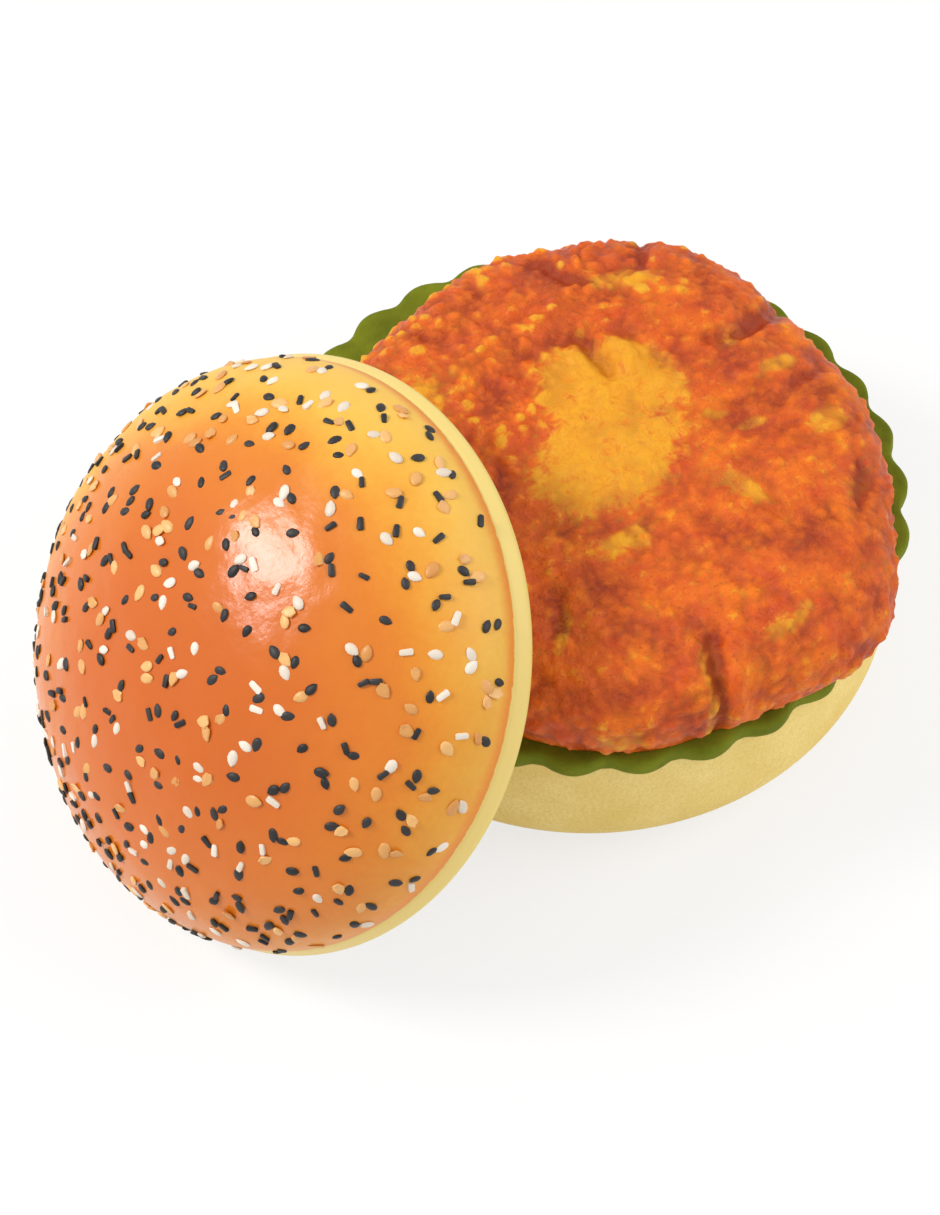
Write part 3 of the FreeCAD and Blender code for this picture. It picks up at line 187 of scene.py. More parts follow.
@dataclass(frozen=True)
class MetalFinish(Finish):
    """Plated or bare metal: drawn streaks along one axis, coarser than real ones, and dull patches where it
    was handled. It keeps the shader's own density."""

    ior: float = 1.5
    light: str = "#d8d8d6"
    dark: str = "#8f9090"
    streak_mm: float = 0.5
    stretch: float = 12.0
    patch_mm: float = 6.0

    def layers(self, add: Adder, place: Socket) -> Inputs:
        """Lay the patches and the streaks.

        Args:
            add: Adds a node to the material.
            place: The piece's own coordinates.

        Returns:
            The shader's inputs by name.
        """
        drawn = add("Mapping", {"Vector": place, "Scale": (1.0, self.stretch, self.stretch)})
        streak = add("TexNoise", {
            "Vector": drawn, "Scale": per_mm(self.streak_mm * self.stretch), "Detail": 3.0})
        patch = add("TexNoise", {"Vector": place, "Scale": per_mm(self.patch_mm), "Detail": 4.0})
        colour = add("ValToRGB", {"Fac": patch}, ((0.3, self.dark), (0.65, self.light)))
        rough = add("MapRange", {
            "Value": streak, "To Min": self.roughness - 0.1, "To Max": self.roughness + 0.12})
        bump = add("Bump", {"Height": streak, "Strength": 0.4, "Distance": 0.01 * MM})
        return {"Base Color": colour, "Metallic": 1.0, "Roughness": rough, "Normal": bump}


@dataclass(frozen=True)
class LaminateFinish(Finish):
    """Glass-epoxy board under green lacquer: darker tracks show through it as straight blocks, drawn coarser
    than real tracks."""

    lacquer: str = "#1f6b3a"
    track: str = "#174f2c"
    track_mm: float = 2.2

    def layers(self, add: Adder, place: Socket) -> Inputs:
        """Lay the tracks under the lacquer.

        Args:
            add: Adds a node to the material.
            place: The piece's own coordinates.

        Returns:
            The shader's inputs by name.
        """
        tracks = add("TexVoronoi", {"Vector": place, "Scale": per_mm(self.track_mm)}, distance="MANHATTAN")
        edge = add("MapRange", {"Value": tracks, "From Min": 0.45, "From Max": 0.55})
        colour = add("ValToRGB", {"Fac": edge}, ((0.0, self.track), (1.0, self.lacquer)))
        bump = add("Bump", {"Height": edge, "Strength": 0.5, "Distance": 0.03 * MM})
        return {"Base Color": colour, "Normal": bump}


@dataclass(frozen=True)
class BakedCrustFinish(Finish):
    """Gloss-painted hard foam of the top bun: browned in the middle, pale yellow towards the crease, with
    a sprayed orange line along it and a bare yellow band below."""

    centre_mm: Triple = (0.0, 0.0, 0.0)
    lean_deg: float = 0.0
    crease_r_mm: float = 68.6
    band_mm: float = 6.0
    bake_shift: Pair = (0.1, 0.09)
    bake_scale: float = 0.92
    blotch_mm: float = 17.0
    blotch_swing: Pair = (0.26, 0.12)
    skin_mm: float = 1.6
    skin_swing: float = 0.07
    ripple_mm: float = 4.2
    line_mm: Pair = (1.0, 5.4)
    paint_edge_mm: Pair = (0.55, 1.25)
    bevel_mm: Pair = (1.2, 2.6)
    dull_levels: Pair = (0.66, 0.92)
    dulling: float = 0.3
    band_light: str = "#ecd079"
    band_dark: str = "#e2cb6e"
    spray: str = "#df801c"
    browning: tuple[tuple[float, str], ...] = (
        (0.0, "#cc6216"), (0.3, "#ce6416"), (0.5, "#d36c18"), (0.64, "#d87519"), (0.73, "#dc7e1d"),
        (0.8, "#e28e25"), (0.87, "#e7a233"), (0.94, "#ebb444"), (1.0, "#edbc50"))

    def layers(self, add: Adder, place: Socket) -> Inputs:
        """Lay the browning, the sprayed line and the band.

        Args:
            add: Adds a node to the material.
            place: The piece's own coordinates.

        Returns:
            The shader's inputs by name.
        """
        local = add("Mapping", {
            "Vector": place, "Location": [c * MM for c in self.centre_mm],
            "Rotation": (0.0, -math.radians(self.lean_deg), 0.0)}, vector_type="TEXTURE")
        share = per_mm(self.crease_r_mm)
        flat = add("Mapping", {"Vector": local, "Scale": (share, share, 0.0)})
        ring = add("VectorMath", {0: flat}, out="Value", operation="LENGTH")
        aside = add("Mapping", {"Vector": flat, "Location": (*self.bake_shift, 0.0)})
        reach = add("VectorMath", {0: aside}, out="Value", operation="LENGTH")
        blotch = add("TexNoise", {"Vector": local, "Scale": per_mm(self.blotch_mm), "Detail": 5.0})
        skin = add("TexNoise", {
            "Vector": local, "Scale": per_mm(self.skin_mm), "Detail": 6.0, "Roughness": 0.6})
        inner, outer = self.blotch_swing
        loose = add("MapRange", {
            "Value": ring, "From Min": 0.6, "From Max": 1.0, "To Min": inner, "To Max": outer})
        centred = add("Math", {0: blotch, 1: 0.5}, operation="SUBTRACT")
        scaled = add("Math", {0: reach, 1: self.bake_scale}, operation="MULTIPLY")
        wander = add("Math", {0: centred, 1: loose, 2: scaled}, operation="MULTIPLY_ADD")
        fuzz = add("Math", {0: skin, 1: self.skin_swing, 2: wander}, operation="MULTIPLY_ADD")
        level = add("Math", {0: fuzz, 1: self.skin_swing / 2}, operation="SUBTRACT")
        browned = add("ValToRGB", {"Fac": level}, self.browning)
        height = add("SeparateXYZ", {0: local}, out="Z")
        edge = add("Math", {0: skin, 1: 1.6 * MM, 2: height}, operation="MULTIPLY_ADD")
        low, high = [(self.band_mm + above) * MM for above in self.line_mm]
        line = add("MapRange", {
            "Value": edge, "From Min": low, "From Max": high, "To Min": 0.95, "To Max": 0.0},
            interpolation_type="SMOOTHSTEP")
        crust = add("Mix", {0: line, 6: browned, 7: linear(self.spray)}, out=2, data_type="RGBA")
        low, high = [(self.band_mm + above) * MM for above in self.paint_edge_mm]
        painted = add("MapRange", {"Value": edge, "From Min": low, "From Max": high},
                      interpolation_type="SMOOTHSTEP")
        low, high = [level_mm * MM for level_mm in self.bevel_mm]
        facet = add("MapRange", {"Value": height, "From Min": low, "From Max": high},
                    interpolation_type="SMOOTHSTEP")
        band = add("ValToRGB", {"Fac": facet}, ((0.0, self.band_dark), (1.0, self.band_light)))
        colour = add("Mix", {0: painted, 6: band, 7: crust}, out=2, data_type="RGBA")
        low, high = self.dull_levels
        dull = add("MapRange", {
            "Value": level, "From Min": low, "From Max": high,
            "To Min": self.roughness, "To Max": self.roughness + self.dulling})
        ripple = add("TexNoise", {"Vector": local, "Scale": per_mm(self.ripple_mm), "Detail": 3.0})
        waves = add("Bump", {"Height": ripple, "Strength": 0.6, "Distance": 0.26 * MM})
        pores = add("Bump", {"Height": skin, "Strength": 0.3, "Distance": 0.12 * MM, "Normal": waves})
        return {"Base Color": colour, "Roughness": dull, "Normal": pores}


@dataclass(frozen=True)
class FriedCrustFinish(Finish):
    """Hand-painted resin of the patty: orange-red glaze over a yellow ground, which shows where the glaze is
    thin, with darker paint run into the hollows, drawn darker there as painted shade too, and a patchy
    varnish."""

    glaze_light: str = "#ee730e"
    glaze_dark: str = "#d24e06"
    # Dark red-brown for the hollows: run-in paint and painted shade together
    run_in_and_shade: str = "#9a3105"
    ground_light: str = "#f0ab1e"
    ground_dark: str = "#e48d10"
    speck: str = "#8a340f"
    wash_mm: float = 9.0
    dab_mm: float = 2.7
    grit_mm: float = 0.8
    varnish_swing: float = 0.14

    def layers(self, add: Adder, place: Socket) -> Inputs:
        """Lay the ground, the glaze over it, the dark paint and painted shade in the hollows, and the specks.

        Args:
            add: Adds a node to the material.
            place: The piece's own coordinates.

        Returns:
            The shader's inputs by name.
        """
        bare = add("Attribute", out="Fac", attribute_name="bare")
        hollow = add("Attribute", out="Fac", attribute_name="hollow")
        wash = add("TexNoise", {
            "Vector": place, "Scale": per_mm(self.wash_mm), "Detail": 6.0, "Roughness": 0.62})
        dab = add("TexNoise", {
            "Vector": place, "Scale": per_mm(self.dab_mm), "Detail": 7.0, "Roughness": 0.72,
            "Distortion": 0.7})
        grit = add("TexNoise", {"Vector": place, "Scale": per_mm(self.grit_mm), "Detail": 3.0})
        glaze = add("ValToRGB", {"Fac": wash}, ((0.36, self.glaze_dark), (0.63, self.glaze_light)))
        ground = add("ValToRGB", {"Fac": dab}, ((0.3, self.ground_dark), (0.68, self.ground_light)))
        ragged = add("Math", {0: dab, 1: 1.5, 2: bare}, operation="MULTIPLY_ADD")
        ragged = add("Math", {0: wash, 1: 0.7, 2: ragged}, operation="MULTIPLY_ADD")
        shown = add("MapRange", {"Value": ragged, "From Min": 1.15, "From Max": 1.6},
                    interpolation_type="SMOOTHSTEP")
        painted = add("Mix", {0: shown, 6: glaze, 7: ground}, out=2, data_type="RGBA")
        # Painted shade: the hollows are darkened towards the run-in colour, partly dark paint and partly the
        # shade that falls there
        pooled_paint_and_shade = add("Math", {0: dab, 1: hollow}, operation="MULTIPLY")
        pooled_paint_and_shade = add("MapRange", {"Value": pooled_paint_and_shade, "From Min": 0.13, "From Max": 0.43, "To Max": 0.92})
        run = add("Mix", {0: pooled_paint_and_shade, 6: painted, 7: linear(self.run_in_and_shade)}, out=2, data_type="RGBA")
        dots = add("MapRange", {"Value": grit, "From Min": 0.6, "From Max": 0.7, "To Max": 0.45})
        glazed = add("Math", {0: 1.0, 1: shown}, operation="SUBTRACT")
        dots = add("Math", {0: dots, 1: glazed}, operation="MULTIPLY")
        colour = add("Mix", {0: dots, 6: run, 7: linear(self.speck)}, out=2, data_type="RGBA")
        rough = add("MapRange", {
            "Value": wash, "From Min": 0.35, "From Max": 0.65,
            "To Min": self.roughness - self.varnish_swing, "To Max": self.roughness + self.varnish_swing})
        heights = add("Math", {0: grit, 1: 0.5, 2: dab}, operation="MULTIPLY_ADD")
        bump = add("Bump", {"Height": heights, "Strength": 0.7, "Distance": 0.8 * MM})
        return {"Base Color": colour, "Roughness": rough, "Normal": bump}


@dataclass(frozen=True)
class FoamLeafFinish(Finish):
    """Dyed soft foam of the leaf: matt, with open pores that read as darker pin-pricks, drawn a little
    coarser than real ones."""

    light: str = "#788018"
    dark: str = "#646d10"
    pore: str = "#4c540a"
    cloud_mm: float = 7.0
    pore_mm: float = 1.1
    fine_mm: float = 0.45

    def layers(self, add: Adder, place: Socket) -> Inputs:
        """Lay the uneven dye and the pores.

        Args:
            add: Adds a node to the material.
            place: The piece's own coordinates.

        Returns:
            The shader's inputs by name.
        """
        cloud = add("TexNoise", {"Vector": place, "Scale": per_mm(self.cloud_mm), "Detail": 6.0})
        pores = add("TexVoronoi", {"Vector": place, "Scale": per_mm(self.pore_mm)})
        fine = add("TexNoise", {"Vector": place, "Scale": per_mm(self.fine_mm), "Detail": 3.0})
        dye = add("ValToRGB", {"Fac": cloud}, ((0.34, self.dark), (0.66, self.light)))
        prick = add("Math", {0: fine, 1: 0.6, 2: pores}, operation="MULTIPLY_ADD")
        open_pore = add("MapRange", {
            "Value": prick, "From Min": 0.32, "From Max": 0.46, "To Min": 0.75, "To Max": 0.0})
        colour = add("Mix", {0: open_pore, 6: dye, 7: linear(self.pore)}, out=2, data_type="RGBA")
        bump = add("Bump", {"Height": prick, "Strength": 0.6, "Distance": 0.15 * MM})
        return {"Base Color": colour, "Normal": bump}


@dataclass(frozen=True)
class SpeckledBunFinish(Finish):
    """Matt moulded foam of the bottom bun: a pale yellow skin with a close speckle of tiny pits, drawn
    coarser than real ones."""

    light: str = "#f8df8e"
    dark: str = "#eece73"
    pit: str = "#d9b659"
    cloud_mm: float = 16.0
    speckle_mm: float = 0.75

    def layers(self, add: Adder, place: Socket) -> Inputs:
        """Lay the clouded skin and its pits.

        Args:
            add: Adds a node to the material.
            place: The piece's own coordinates.

        Returns:
            The shader's inputs by name.
        """
        cloud = add("TexNoise", {"Vector": place, "Scale": per_mm(self.cloud_mm), "Detail": 4.0})
        speckle = add("TexNoise", {
            "Vector": place, "Scale": per_mm(self.speckle_mm), "Detail": 3.0, "Roughness": 0.7})
        skin = add("ValToRGB", {"Fac": cloud}, ((0.3, self.dark), (0.7, self.light)))
        pitted = add("MapRange", {
            "Value": speckle, "From Min": 0.3, "From Max": 0.62, "To Min": 0.55, "To Max": 0.0})
        colour = add("Mix", {0: pitted, 6: skin, 7: linear(self.pit)}, out=2, data_type="RGBA")
        bump = add("Bump", {"Height": speckle, "Strength": 0.55, "Distance": 0.12 * MM})
        return {"Base Color": colour, "Normal": bump}


@dataclass(frozen=True)
class SeedFinish(Finish):
    """Cast resin grains: each has its own tone, and faint ribs in the colour and the shine."""

    light: str = "#ffffff"
    dark: str = "#dddddd"
    rib_mm: float = 0.6
    ripple: float = 0.35

    def layers(self, add: Adder, place: Socket) -> Inputs:
        """Lay the grains' tones and ribs.

        Args:
            add: Adds a node to the material.
            place: The piece's own coordinates.

        Returns:
            The shader's inputs by name.
        """
        tone = add("Attribute", out="Fac", attribute_name="tone")
        ribs = add("TexNoise", {"Vector": place, "Scale": per_mm(self.rib_mm), "Detail": 3.0})
        mixed = add("Math", {0: ribs, 1: self.ripple, 2: tone}, operation="MULTIPLY_ADD")
        colour = add("ValToRGB", {"Fac": mixed}, ((0.1, self.dark), (1.0, self.light)))
        bump = add("Bump", {"Height": ribs, "Strength": 0.5, "Distance": 0.12 * MM})
        return {"Base Color": colour, "Normal": bump}


# Modelling helpers

def pick_alone(piece: Piece) -> None:
    """Select one piece only and make it active."""
    bpy.ops.object.select_all(action="DESELECT")
    piece.select_set(True)
    bpy.context.view_layer.objects.active = piece


def add_primitive(operator: Callable[..., object], **settings: object) -> Piece:
    """Add a new piece with an operator and its settings, as the only one selected."""
    bpy.ops.object.select_all(action="DESELECT")
    operator(**settings)
    return bpy.context.object


@contextmanager
def editing(piece: Piece) -> Iterator[None]:
    """Work on one piece alone in edit mode, with all of it selected at first.

    Args:
        piece: The piece to edit.
    """
    pick_alone(piece)
    bpy.ops.object.mode_set(mode="EDIT")
    bpy.ops.mesh.select_all(action="SELECT")
    yield
    bpy.ops.object.mode_set(mode="OBJECT")


def pick_vertices(piece: Piece, rule: Callable[[np.ndarray], np.ndarray]) -> None:
    """Select vertices of a piece that is in edit mode.

    Args:
        piece: The piece in edit mode.
        rule: Tells from the vertices' places, in metres, which are selected.
    """
    bpy.ops.mesh.select_all(action="DESELECT")
    bpy.ops.mesh.select_mode(type="VERT")
    bpy.ops.object.mode_set(mode="OBJECT")
    piece.data.vertices.foreach_set("select", rule(read_places(piece)))
    bpy.ops.object.mode_set(mode="EDIT")


def extrude_ring(rise_mm: float, grow: float = 1.0) -> None:
    """Extrude what is selected upwards and widen it about the Z axis."""
    bpy.ops.mesh.extrude_region_move(TRANSFORM_OT_translate={"value": (0, 0, rise_mm * MM)})
    bpy.ops.transform.resize(value=(grow, grow, 1), center_override=(0, 0, 0))


def read_places(piece: Piece) -> np.ndarray:
    """Read a piece's vertices as rows of three numbers, in metres."""
    places = np.empty(len(piece.data.vertices) * 3)
    piece.data.vertices.foreach_get("co", places)
    return places.reshape(-1, 3)


def write_places(piece: Piece, places: np.ndarray) -> None:
    """Move a piece's vertices to rows of three numbers, in metres."""
    piece.data.vertices.foreach_set("co", places.ravel())
    piece.data.update()


def read_normals(piece: Piece) -> np.ndarray:
    """Read the outward directions at a piece's vertices."""
    normals = np.empty(len(piece.data.vertices) * 3)
    piece.data.vertex_normals.foreach_get("vector", normals)
    return normals.reshape(-1, 3)


def write_attribute(piece: Piece, name: str, values: np.ndarray) -> None:
    """Keep one number per vertex on a piece, for its finish to read."""
    attribute = piece.data.attributes.new(name, "FLOAT", "POINT")
    attribute.data.foreach_set("value", values.astype(np.float32))


def tidy_faces(piece: Piece, gap_mm: float = 0.001) -> None:
    """Merge doubled vertices of a piece and turn its faces outwards."""
    with editing(piece):
        bpy.ops.mesh.remove_doubles(threshold=gap_mm * MM)
        bpy.ops.mesh.normals_make_consistent(inside=False)


def move_into(piece: Piece, matrix: Matrix) -> None:
    """Move a piece by a matrix and keep its new place in its mesh."""
    pick_alone(piece)
    piece.matrix_world = matrix
    bpy.ops.object.transform_apply(location=True, rotation=True, scale=True)


def settle(piece: Piece, name: str, finishes: Looks, slot: str, body: str,
           replaced: Sequence[str] = ()) -> None:
    """Name a finished piece, dress it and tie it to the body that carries it.

    Args:
        piece: The finished piece, with its place in its mesh.
        name: Its name.
        finishes: The finishes by slot.
        slot: The record's material slot.
        body: The body it moves with.
        replaced: The solids it stands for.
    """
    piece.name = name
    piece.data.name = name
    piece.data.materials.clear()
    piece.data.materials.append(finishes[slot])
    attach(piece, body)
    if replaced:
        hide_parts(*replaced)
    LOG.info("%s: %d faces on %s", name, len(piece.data.polygons), body)


def smoothstep(low: float, high: float, values: np.ndarray) -> np.ndarray:
    """Ease from 0 to 1 between two values."""
    share = np.clip((values - low) / (high - low), 0.0, 1.0)
    return share * share * (3.0 - 2.0 * share)


def noise_at(places_mm: np.ndarray, size_mm: float, shift: float = 0.0) -> np.ndarray:
    """Sample smooth noise of a feature size at rows of points in millimetres."""
    scaled = places_mm / size_mm + shift
    return np.array([noise.noise(row) for row in scaled.tolist()])


def pebbles_at(places_mm: np.ndarray, size_mm: float) -> np.ndarray:
    """Sample close round pebbles: 1 at the middle of each and 0 between them."""
    nearest = np.array([noise.voronoi(row)[0][0] for row in (places_mm / size_mm).tolist()])
    return 1.0 - smoothstep(0.05, 0.62, nearest)


# The handset's place

@dataclass(frozen=True)
class Lean:
    """Where the handset leans: its own frame has the face at Z = 0 and the dome towards +Z."""

    centre_mm: Triple = (-86.53, 0.0, 50.618)
    degrees: float = 47.3

    def matrix(self) -> Matrix:
        """Give the matrix from the handset's frame to the object's, in metres."""
        turn = Matrix.Rotation(-math.radians(self.degrees), 4, "Y")
        return Matrix.Translation(Vector(self.centre_mm) * MM) @ turn


# Top bun

class GrainShape(Enum):
    """The shapes that the toppings come in."""

    TEARDROP = "teardrop"
    CUT_BIT = "cut bit"
    CHIP = "chip"


@dataclass(frozen=True)
class Topping:
    """One kind of topping: how many there are, their size, and up to which draw each shape is taken."""

    node: str
    slot: str
    count: int
    size_mm: Triple
    shapes: tuple[tuple[GrainShape, float], ...]


@dataclass
class TopBun:
    """The seeded top bun, which is the handset's shell."""

    lean: Lean
    rim_r: float = 70.0
    crease_r: float = 68.6
    height: float = 44.5
    band: float = 6.0
    rounding: float = 2.0
    groove: float = 0.35
    seat_r: float = 66.1
    seat_depth: float = 2.5
    dome_power: float = 1.08
    swell: float = 0.4
    segments: int = 240
    rounding_steps: int = 8
    band_steps: int = 7
    dome_rings: int = 84
    lump: float = 0.5
    lump_size: float = 16.0
    seed_draw: int = 11
    sparse_turn_deg: float = -46.0
    sparse_share: float = 0.9
    seed_reach: Pair = (0.06, 0.99)
    seed_spacing: float = 0.054
    seed_map_rise: float = 0.54
    seed_lift: float = 0.12
    huddle_share: float = 0.62
    huddle_gap: float = 2.5
    huddle_reach: float = 6.2
    toppings: tuple[Topping, ...] = (
        Topping("black_sesame_seeds", "black_seed", 340, (3.3, 2.3, 1.3),
                ((GrainShape.TEARDROP, 0.72), (GrainShape.CUT_BIT, 1.0))),
        Topping("white_sesame_seeds", "white_seed", 125, (3.6, 2.5, 1.3),
                ((GrainShape.TEARDROP, 0.74), (GrainShape.CUT_BIT, 1.0))),
        Topping("garlic_flakes", "toasted_flake", 145, (3.9, 2.7, 1.15),
                ((GrainShape.TEARDROP, 0.6), (GrainShape.CHIP, 1.0))))

    def dome(self, share: float) -> Pair:
        """Find the dome's radius and height at a share of the way from its crease to its top.

        Args:
            share: 0 at the crease and 1 at the top.

        Returns:
            Radius and height in millimetres, in the handset's frame.
        """
        angle = share * math.pi / 2
        rise = max(math.sin(angle), 0.0) ** self.dome_power
        full = self.swell * max(math.sin(2 * angle), 0.0) ** 0.7
        radius = self.crease_r * max(math.cos(angle), 0.0) + full * math.cos(angle)
        return radius, self.band + (self.height - self.band) * rise + full * math.sin(angle)

    def profile(self) -> list[Pair]:
        """Draw the shell's outline from inside the face's seat over the rim to just below the top.

        Returns:
            Radius and height of each point, in millimetres.
        """
        points = [(self.seat_r, self.seat_depth), (self.seat_r, 0.0)]
        for step in range(self.rounding_steps + 1):
            angle = step * math.pi / 2 / self.rounding_steps
            inset = self.rounding * (1 - math.sin(angle))
            points.append((self.rim_r - inset, self.rounding * (1 - math.cos(angle))))
        low = self.rounding + 0.2
        for step in range(1, self.band_steps + 1):
            share = step / self.band_steps
            tuck = self.groove * smoothstep(0.8, 1.0, np.array(share))
            radius = self.rim_r + (self.crease_r - self.rim_r) * share
            points.append((radius - tuck, low + (self.band - low) * share))
        points += [self.dome((step / self.dome_rings) ** 1.1) for step in range(self.dome_rings)]
        return points

    def build_crust(self) -> Piece:
        """Raise the shell ring by ring from a circle and give it a baked unevenness.

        Returns:
            The shell, in the handset's place.
        """
        points = self.profile()
        radius, level = points[0]
        crust = add_primitive(bpy.ops.mesh.primitive_circle_add, vertices=self.segments, radius=radius * MM,
                              location=(0, 0, 0))
        with editing(crust):
            bpy.ops.transform.translate(value=(0, 0, level * MM))
            for next_radius, next_level in points[1:]:
                extrude_ring(next_level - level, next_radius / radius)
                radius, level = next_radius, next_level
            extrude_ring(self.height - level)
            bpy.ops.mesh.merge(type="CENTER")
        tidy_faces(crust)
        self.roughen(crust)
        pick_alone(crust)
        bpy.ops.object.shade_smooth()
        move_into(crust, self.lean.matrix())
        return crust

    def roughen(self, crust: Piece) -> None:
        """Push the dome in and out a little, so that the gloss breaks up as on a baked crust.

        The vertices are moved in code, because no operator follows a noise only above the crease.

        Args:
            crust: The shell, in the handset's own frame.
        """
        places = read_places(crust) / MM
        above = smoothstep(self.band + 1.0, self.band + 9.0, places[:, 2])
        broad = noise_at(places, self.lump_size)
        close = noise_at(places, self.lump_size / 3.4, 7.3)
        push = (self.lump * broad + 0.2 * self.lump * close) * above
        write_places(crust, (places + read_normals(crust) * push[:, None]) * MM)

    def grain(self, shape: GrainShape) -> Piece:
        """Model one topping grain, 2 units long, to be copied.

        Args:
            shape: The kind of grain.

        Returns:
            The grain, flat on its side with its point towards +X.
        """
        if shape is GrainShape.CUT_BIT:
            bit = add_primitive(bpy.ops.mesh.primitive_cube_add, size=2)
            with editing(bit):
                bpy.ops.transform.resize(value=(0.88, 0.62, 0.8))
                bpy.ops.mesh.bevel(offset=0.22, segments=1, affect="EDGES")
                pick_vertices(bit, lambda at: at[:, 0] > 0.5)
                bpy.ops.transform.resize(value=(1, 0.86, 0.9))
            return bit
        seed = add_primitive(bpy.ops.mesh.primitive_uv_sphere_add, segments=10, ring_count=6, radius=1)
        with editing(seed):
            bpy.ops.transform.rotate(value=math.pi / 2, orient_axis="Y", center_override=(0, 0, 0))
            for start, narrow in ((0.3, 0.9), (0.7, 0.7)):
                pick_vertices(seed, lambda at: at[:, 0] > start)
                bpy.ops.transform.resize(value=(1.04, narrow, narrow), center_override=(0, 0, 0))
            pick_vertices(seed, lambda at: np.abs(at[:, 2]) > 0.55)
            bpy.ops.transform.resize(value=(1, 0.9, 0.82), center_override=(0, 0, 0))
            if shape is GrainShape.CHIP:
                pick_vertices(seed, lambda at: at[:, 1] > 0.35)
                bpy.ops.transform.translate(value=(-0.18, 0.12, 0.5))
                pick_vertices(seed, lambda at: at[:, 0] < -0.6)
                bpy.ops.transform.translate(value=(0.25, -0.1, 0.35))
        return seed

    def seat(self, share: float, turn: float, spin: float) -> Seat:
        """Find a grain's seat on the dome.

        Args:
            share: How far up the dome it lies.
            turn: Where it lies round the dome, in radians.
            spin: How it is turned on its seat, in radians.

        Returns:
            Its point in millimetres, its outward direction and its own direction.
        """
        away = Vector((math.cos(turn), math.sin(turn), 0))
        radius, level = self.dome(share)
        low_radius, low_level = self.dome(share - 0.005)
        downhill = (away * (low_radius - radius) + Vector((0, 0, low_level - level))).normalized()
        normal = downhill.cross(Vector((0, 0, 1)).cross(away))
        along = downhill * math.cos(spin) + normal.cross(downhill) * math.sin(spin)
        return away * radius + Vector((0, 0, level)), normal, along

    def spots(self, count: int) -> list[Triple]:
        """Scatter places over the dome, as the solids have them.

        Args:
            count: How many places.

        Returns:
            For each place its share of the way up, its turn round the dome and the grain's own turn.
        """
        draw = random.Random(self.seed_draw)
        marks: list[Vector] = []
        places: list[Triple] = []
        low, high = self.seed_reach
        while len(places) < count:
            height, turn = draw.random(), draw.random() * 2 * math.pi
            spin, keep = draw.random() * math.pi, draw.random()
            share = low + (high - low) * math.asin(height) / (math.pi / 2)
            facing = 0.5 + 0.5 * math.cos(turn - math.radians(self.sparse_turn_deg))
            if keep < self.sparse_share * facing * (1 - share) ** 2:
                continue
            reach = math.cos(share * math.pi / 2)
            rise = self.seed_map_rise * math.sin(share * math.pi / 2)
            mark = Vector((reach * math.cos(turn), reach * math.sin(turn), rise))
            if all((mark - other).length > self.seed_spacing for other in marks):
                marks.append(mark)
                places.append((share, turn, spin))
        return places

    def huddle(self, places: Sequence[Triple]) -> list[Seat]:
        """Pull grains that lie close together until they nearly touch, as they fell in clusters.

        Args:
            places: The scattered places.

        Returns:
            The seats of all grains, in the same order.
        """
        draw = random.Random(self.seed_draw + 1)
        points = [self.seat(*place)[0] for place in places]
        for index, point in enumerate(points):
            near = min((other for other in range(len(points)) if other != index),
                       key=lambda other: (points[other] - point).length)
            gap = (points[near] - point).length
            if draw.random() < self.huddle_share and self.huddle_gap < gap < self.huddle_reach:
                left = draw.uniform(0.9, 1.15) * self.huddle_gap / gap
                points[index] = point.lerp(points[near], 1.0 - left)
        seats = []
        for point, (_, _, spin) in zip(points, places):
            radius = min(math.hypot(point.x, point.y) / self.crease_r, 0.998)
            share = math.acos(radius) / (math.pi / 2)
            seats.append(self.seat(share, math.atan2(point.y, point.x), spin))
        return seats

    def scatter(self, topping: Topping, seats: Sequence[Seat], grains: dict[GrainShape, Piece]) -> Piece:
        """Copy a topping's grains to their seats and join them.

        Args:
            topping: The kind of topping.
            seats: Where its grains go.
            grains: The grains to copy.

        Returns:
            All grains of this kind as one piece.
        """
        draw = random.Random(topping.node)
        copies = []
        for point, normal, along in seats:
            pick = draw.random()
            shape = next(kind for kind, limit in topping.shapes if pick <= limit)
            tilt = Matrix.Rotation(draw.uniform(-0.22, 0.22), 3, along) @ Matrix.Rotation(
                draw.uniform(-0.16, 0.16), 3, normal.cross(along))
            forward = tilt @ (along if draw.random() < 0.5 else -along)
            upward = tilt @ normal
            axes = zip((forward, upward.cross(forward), upward), topping.size_mm)
            grow = draw.uniform(0.82, 1.06)
            turn = Matrix([axis * (size / 2 * grow) for axis, size in axes]).transposed().to_4x4()
            copy = grains[shape].copy()
            copy.data = grains[shape].data.copy()
            lifted = Matrix.Translation(point + normal * self.seed_lift)
            copy.data.transform(Matrix.Scale(MM, 4) @ lifted @ turn)
            write_attribute(copy, "tone", np.full(len(copy.data.vertices), draw.uniform(0.05, 0.95)))
            bpy.context.scene.collection.objects.link(copy)
            copies.append(copy)
        pick_alone(copies[0])
        for copy in copies:
            copy.select_set(True)
        bpy.ops.object.join()
        group = bpy.context.object
        bpy.ops.object.shade_smooth_by_angle(angle=math.radians(48))
        move_into(group, self.lean.matrix())
        return group

    def build(self, finishes: Looks) -> None:
        """Build the shell and its toppings.

        Args:
            finishes: The finishes by slot.
        """
        crust = self.build_crust()
        settle(crust, "top_bun_crust", finishes, "baked_bun_plastic", "handset", ["crown_shell"])
        grains = {shape: self.grain(shape) for shape in GrainShape}
        seats = self.huddle(self.spots(sum(topping.count for topping in self.toppings)))
        for topping in self.toppings:
            group = self.scatter(topping, seats[:topping.count], grains)
            seats = seats[topping.count:]
            settle(group, topping.node + "_baked_on", finishes, topping.slot, "handset", [topping.node])
        for grain in grains.values():
            bpy.data.objects.remove(grain)


# Key legends

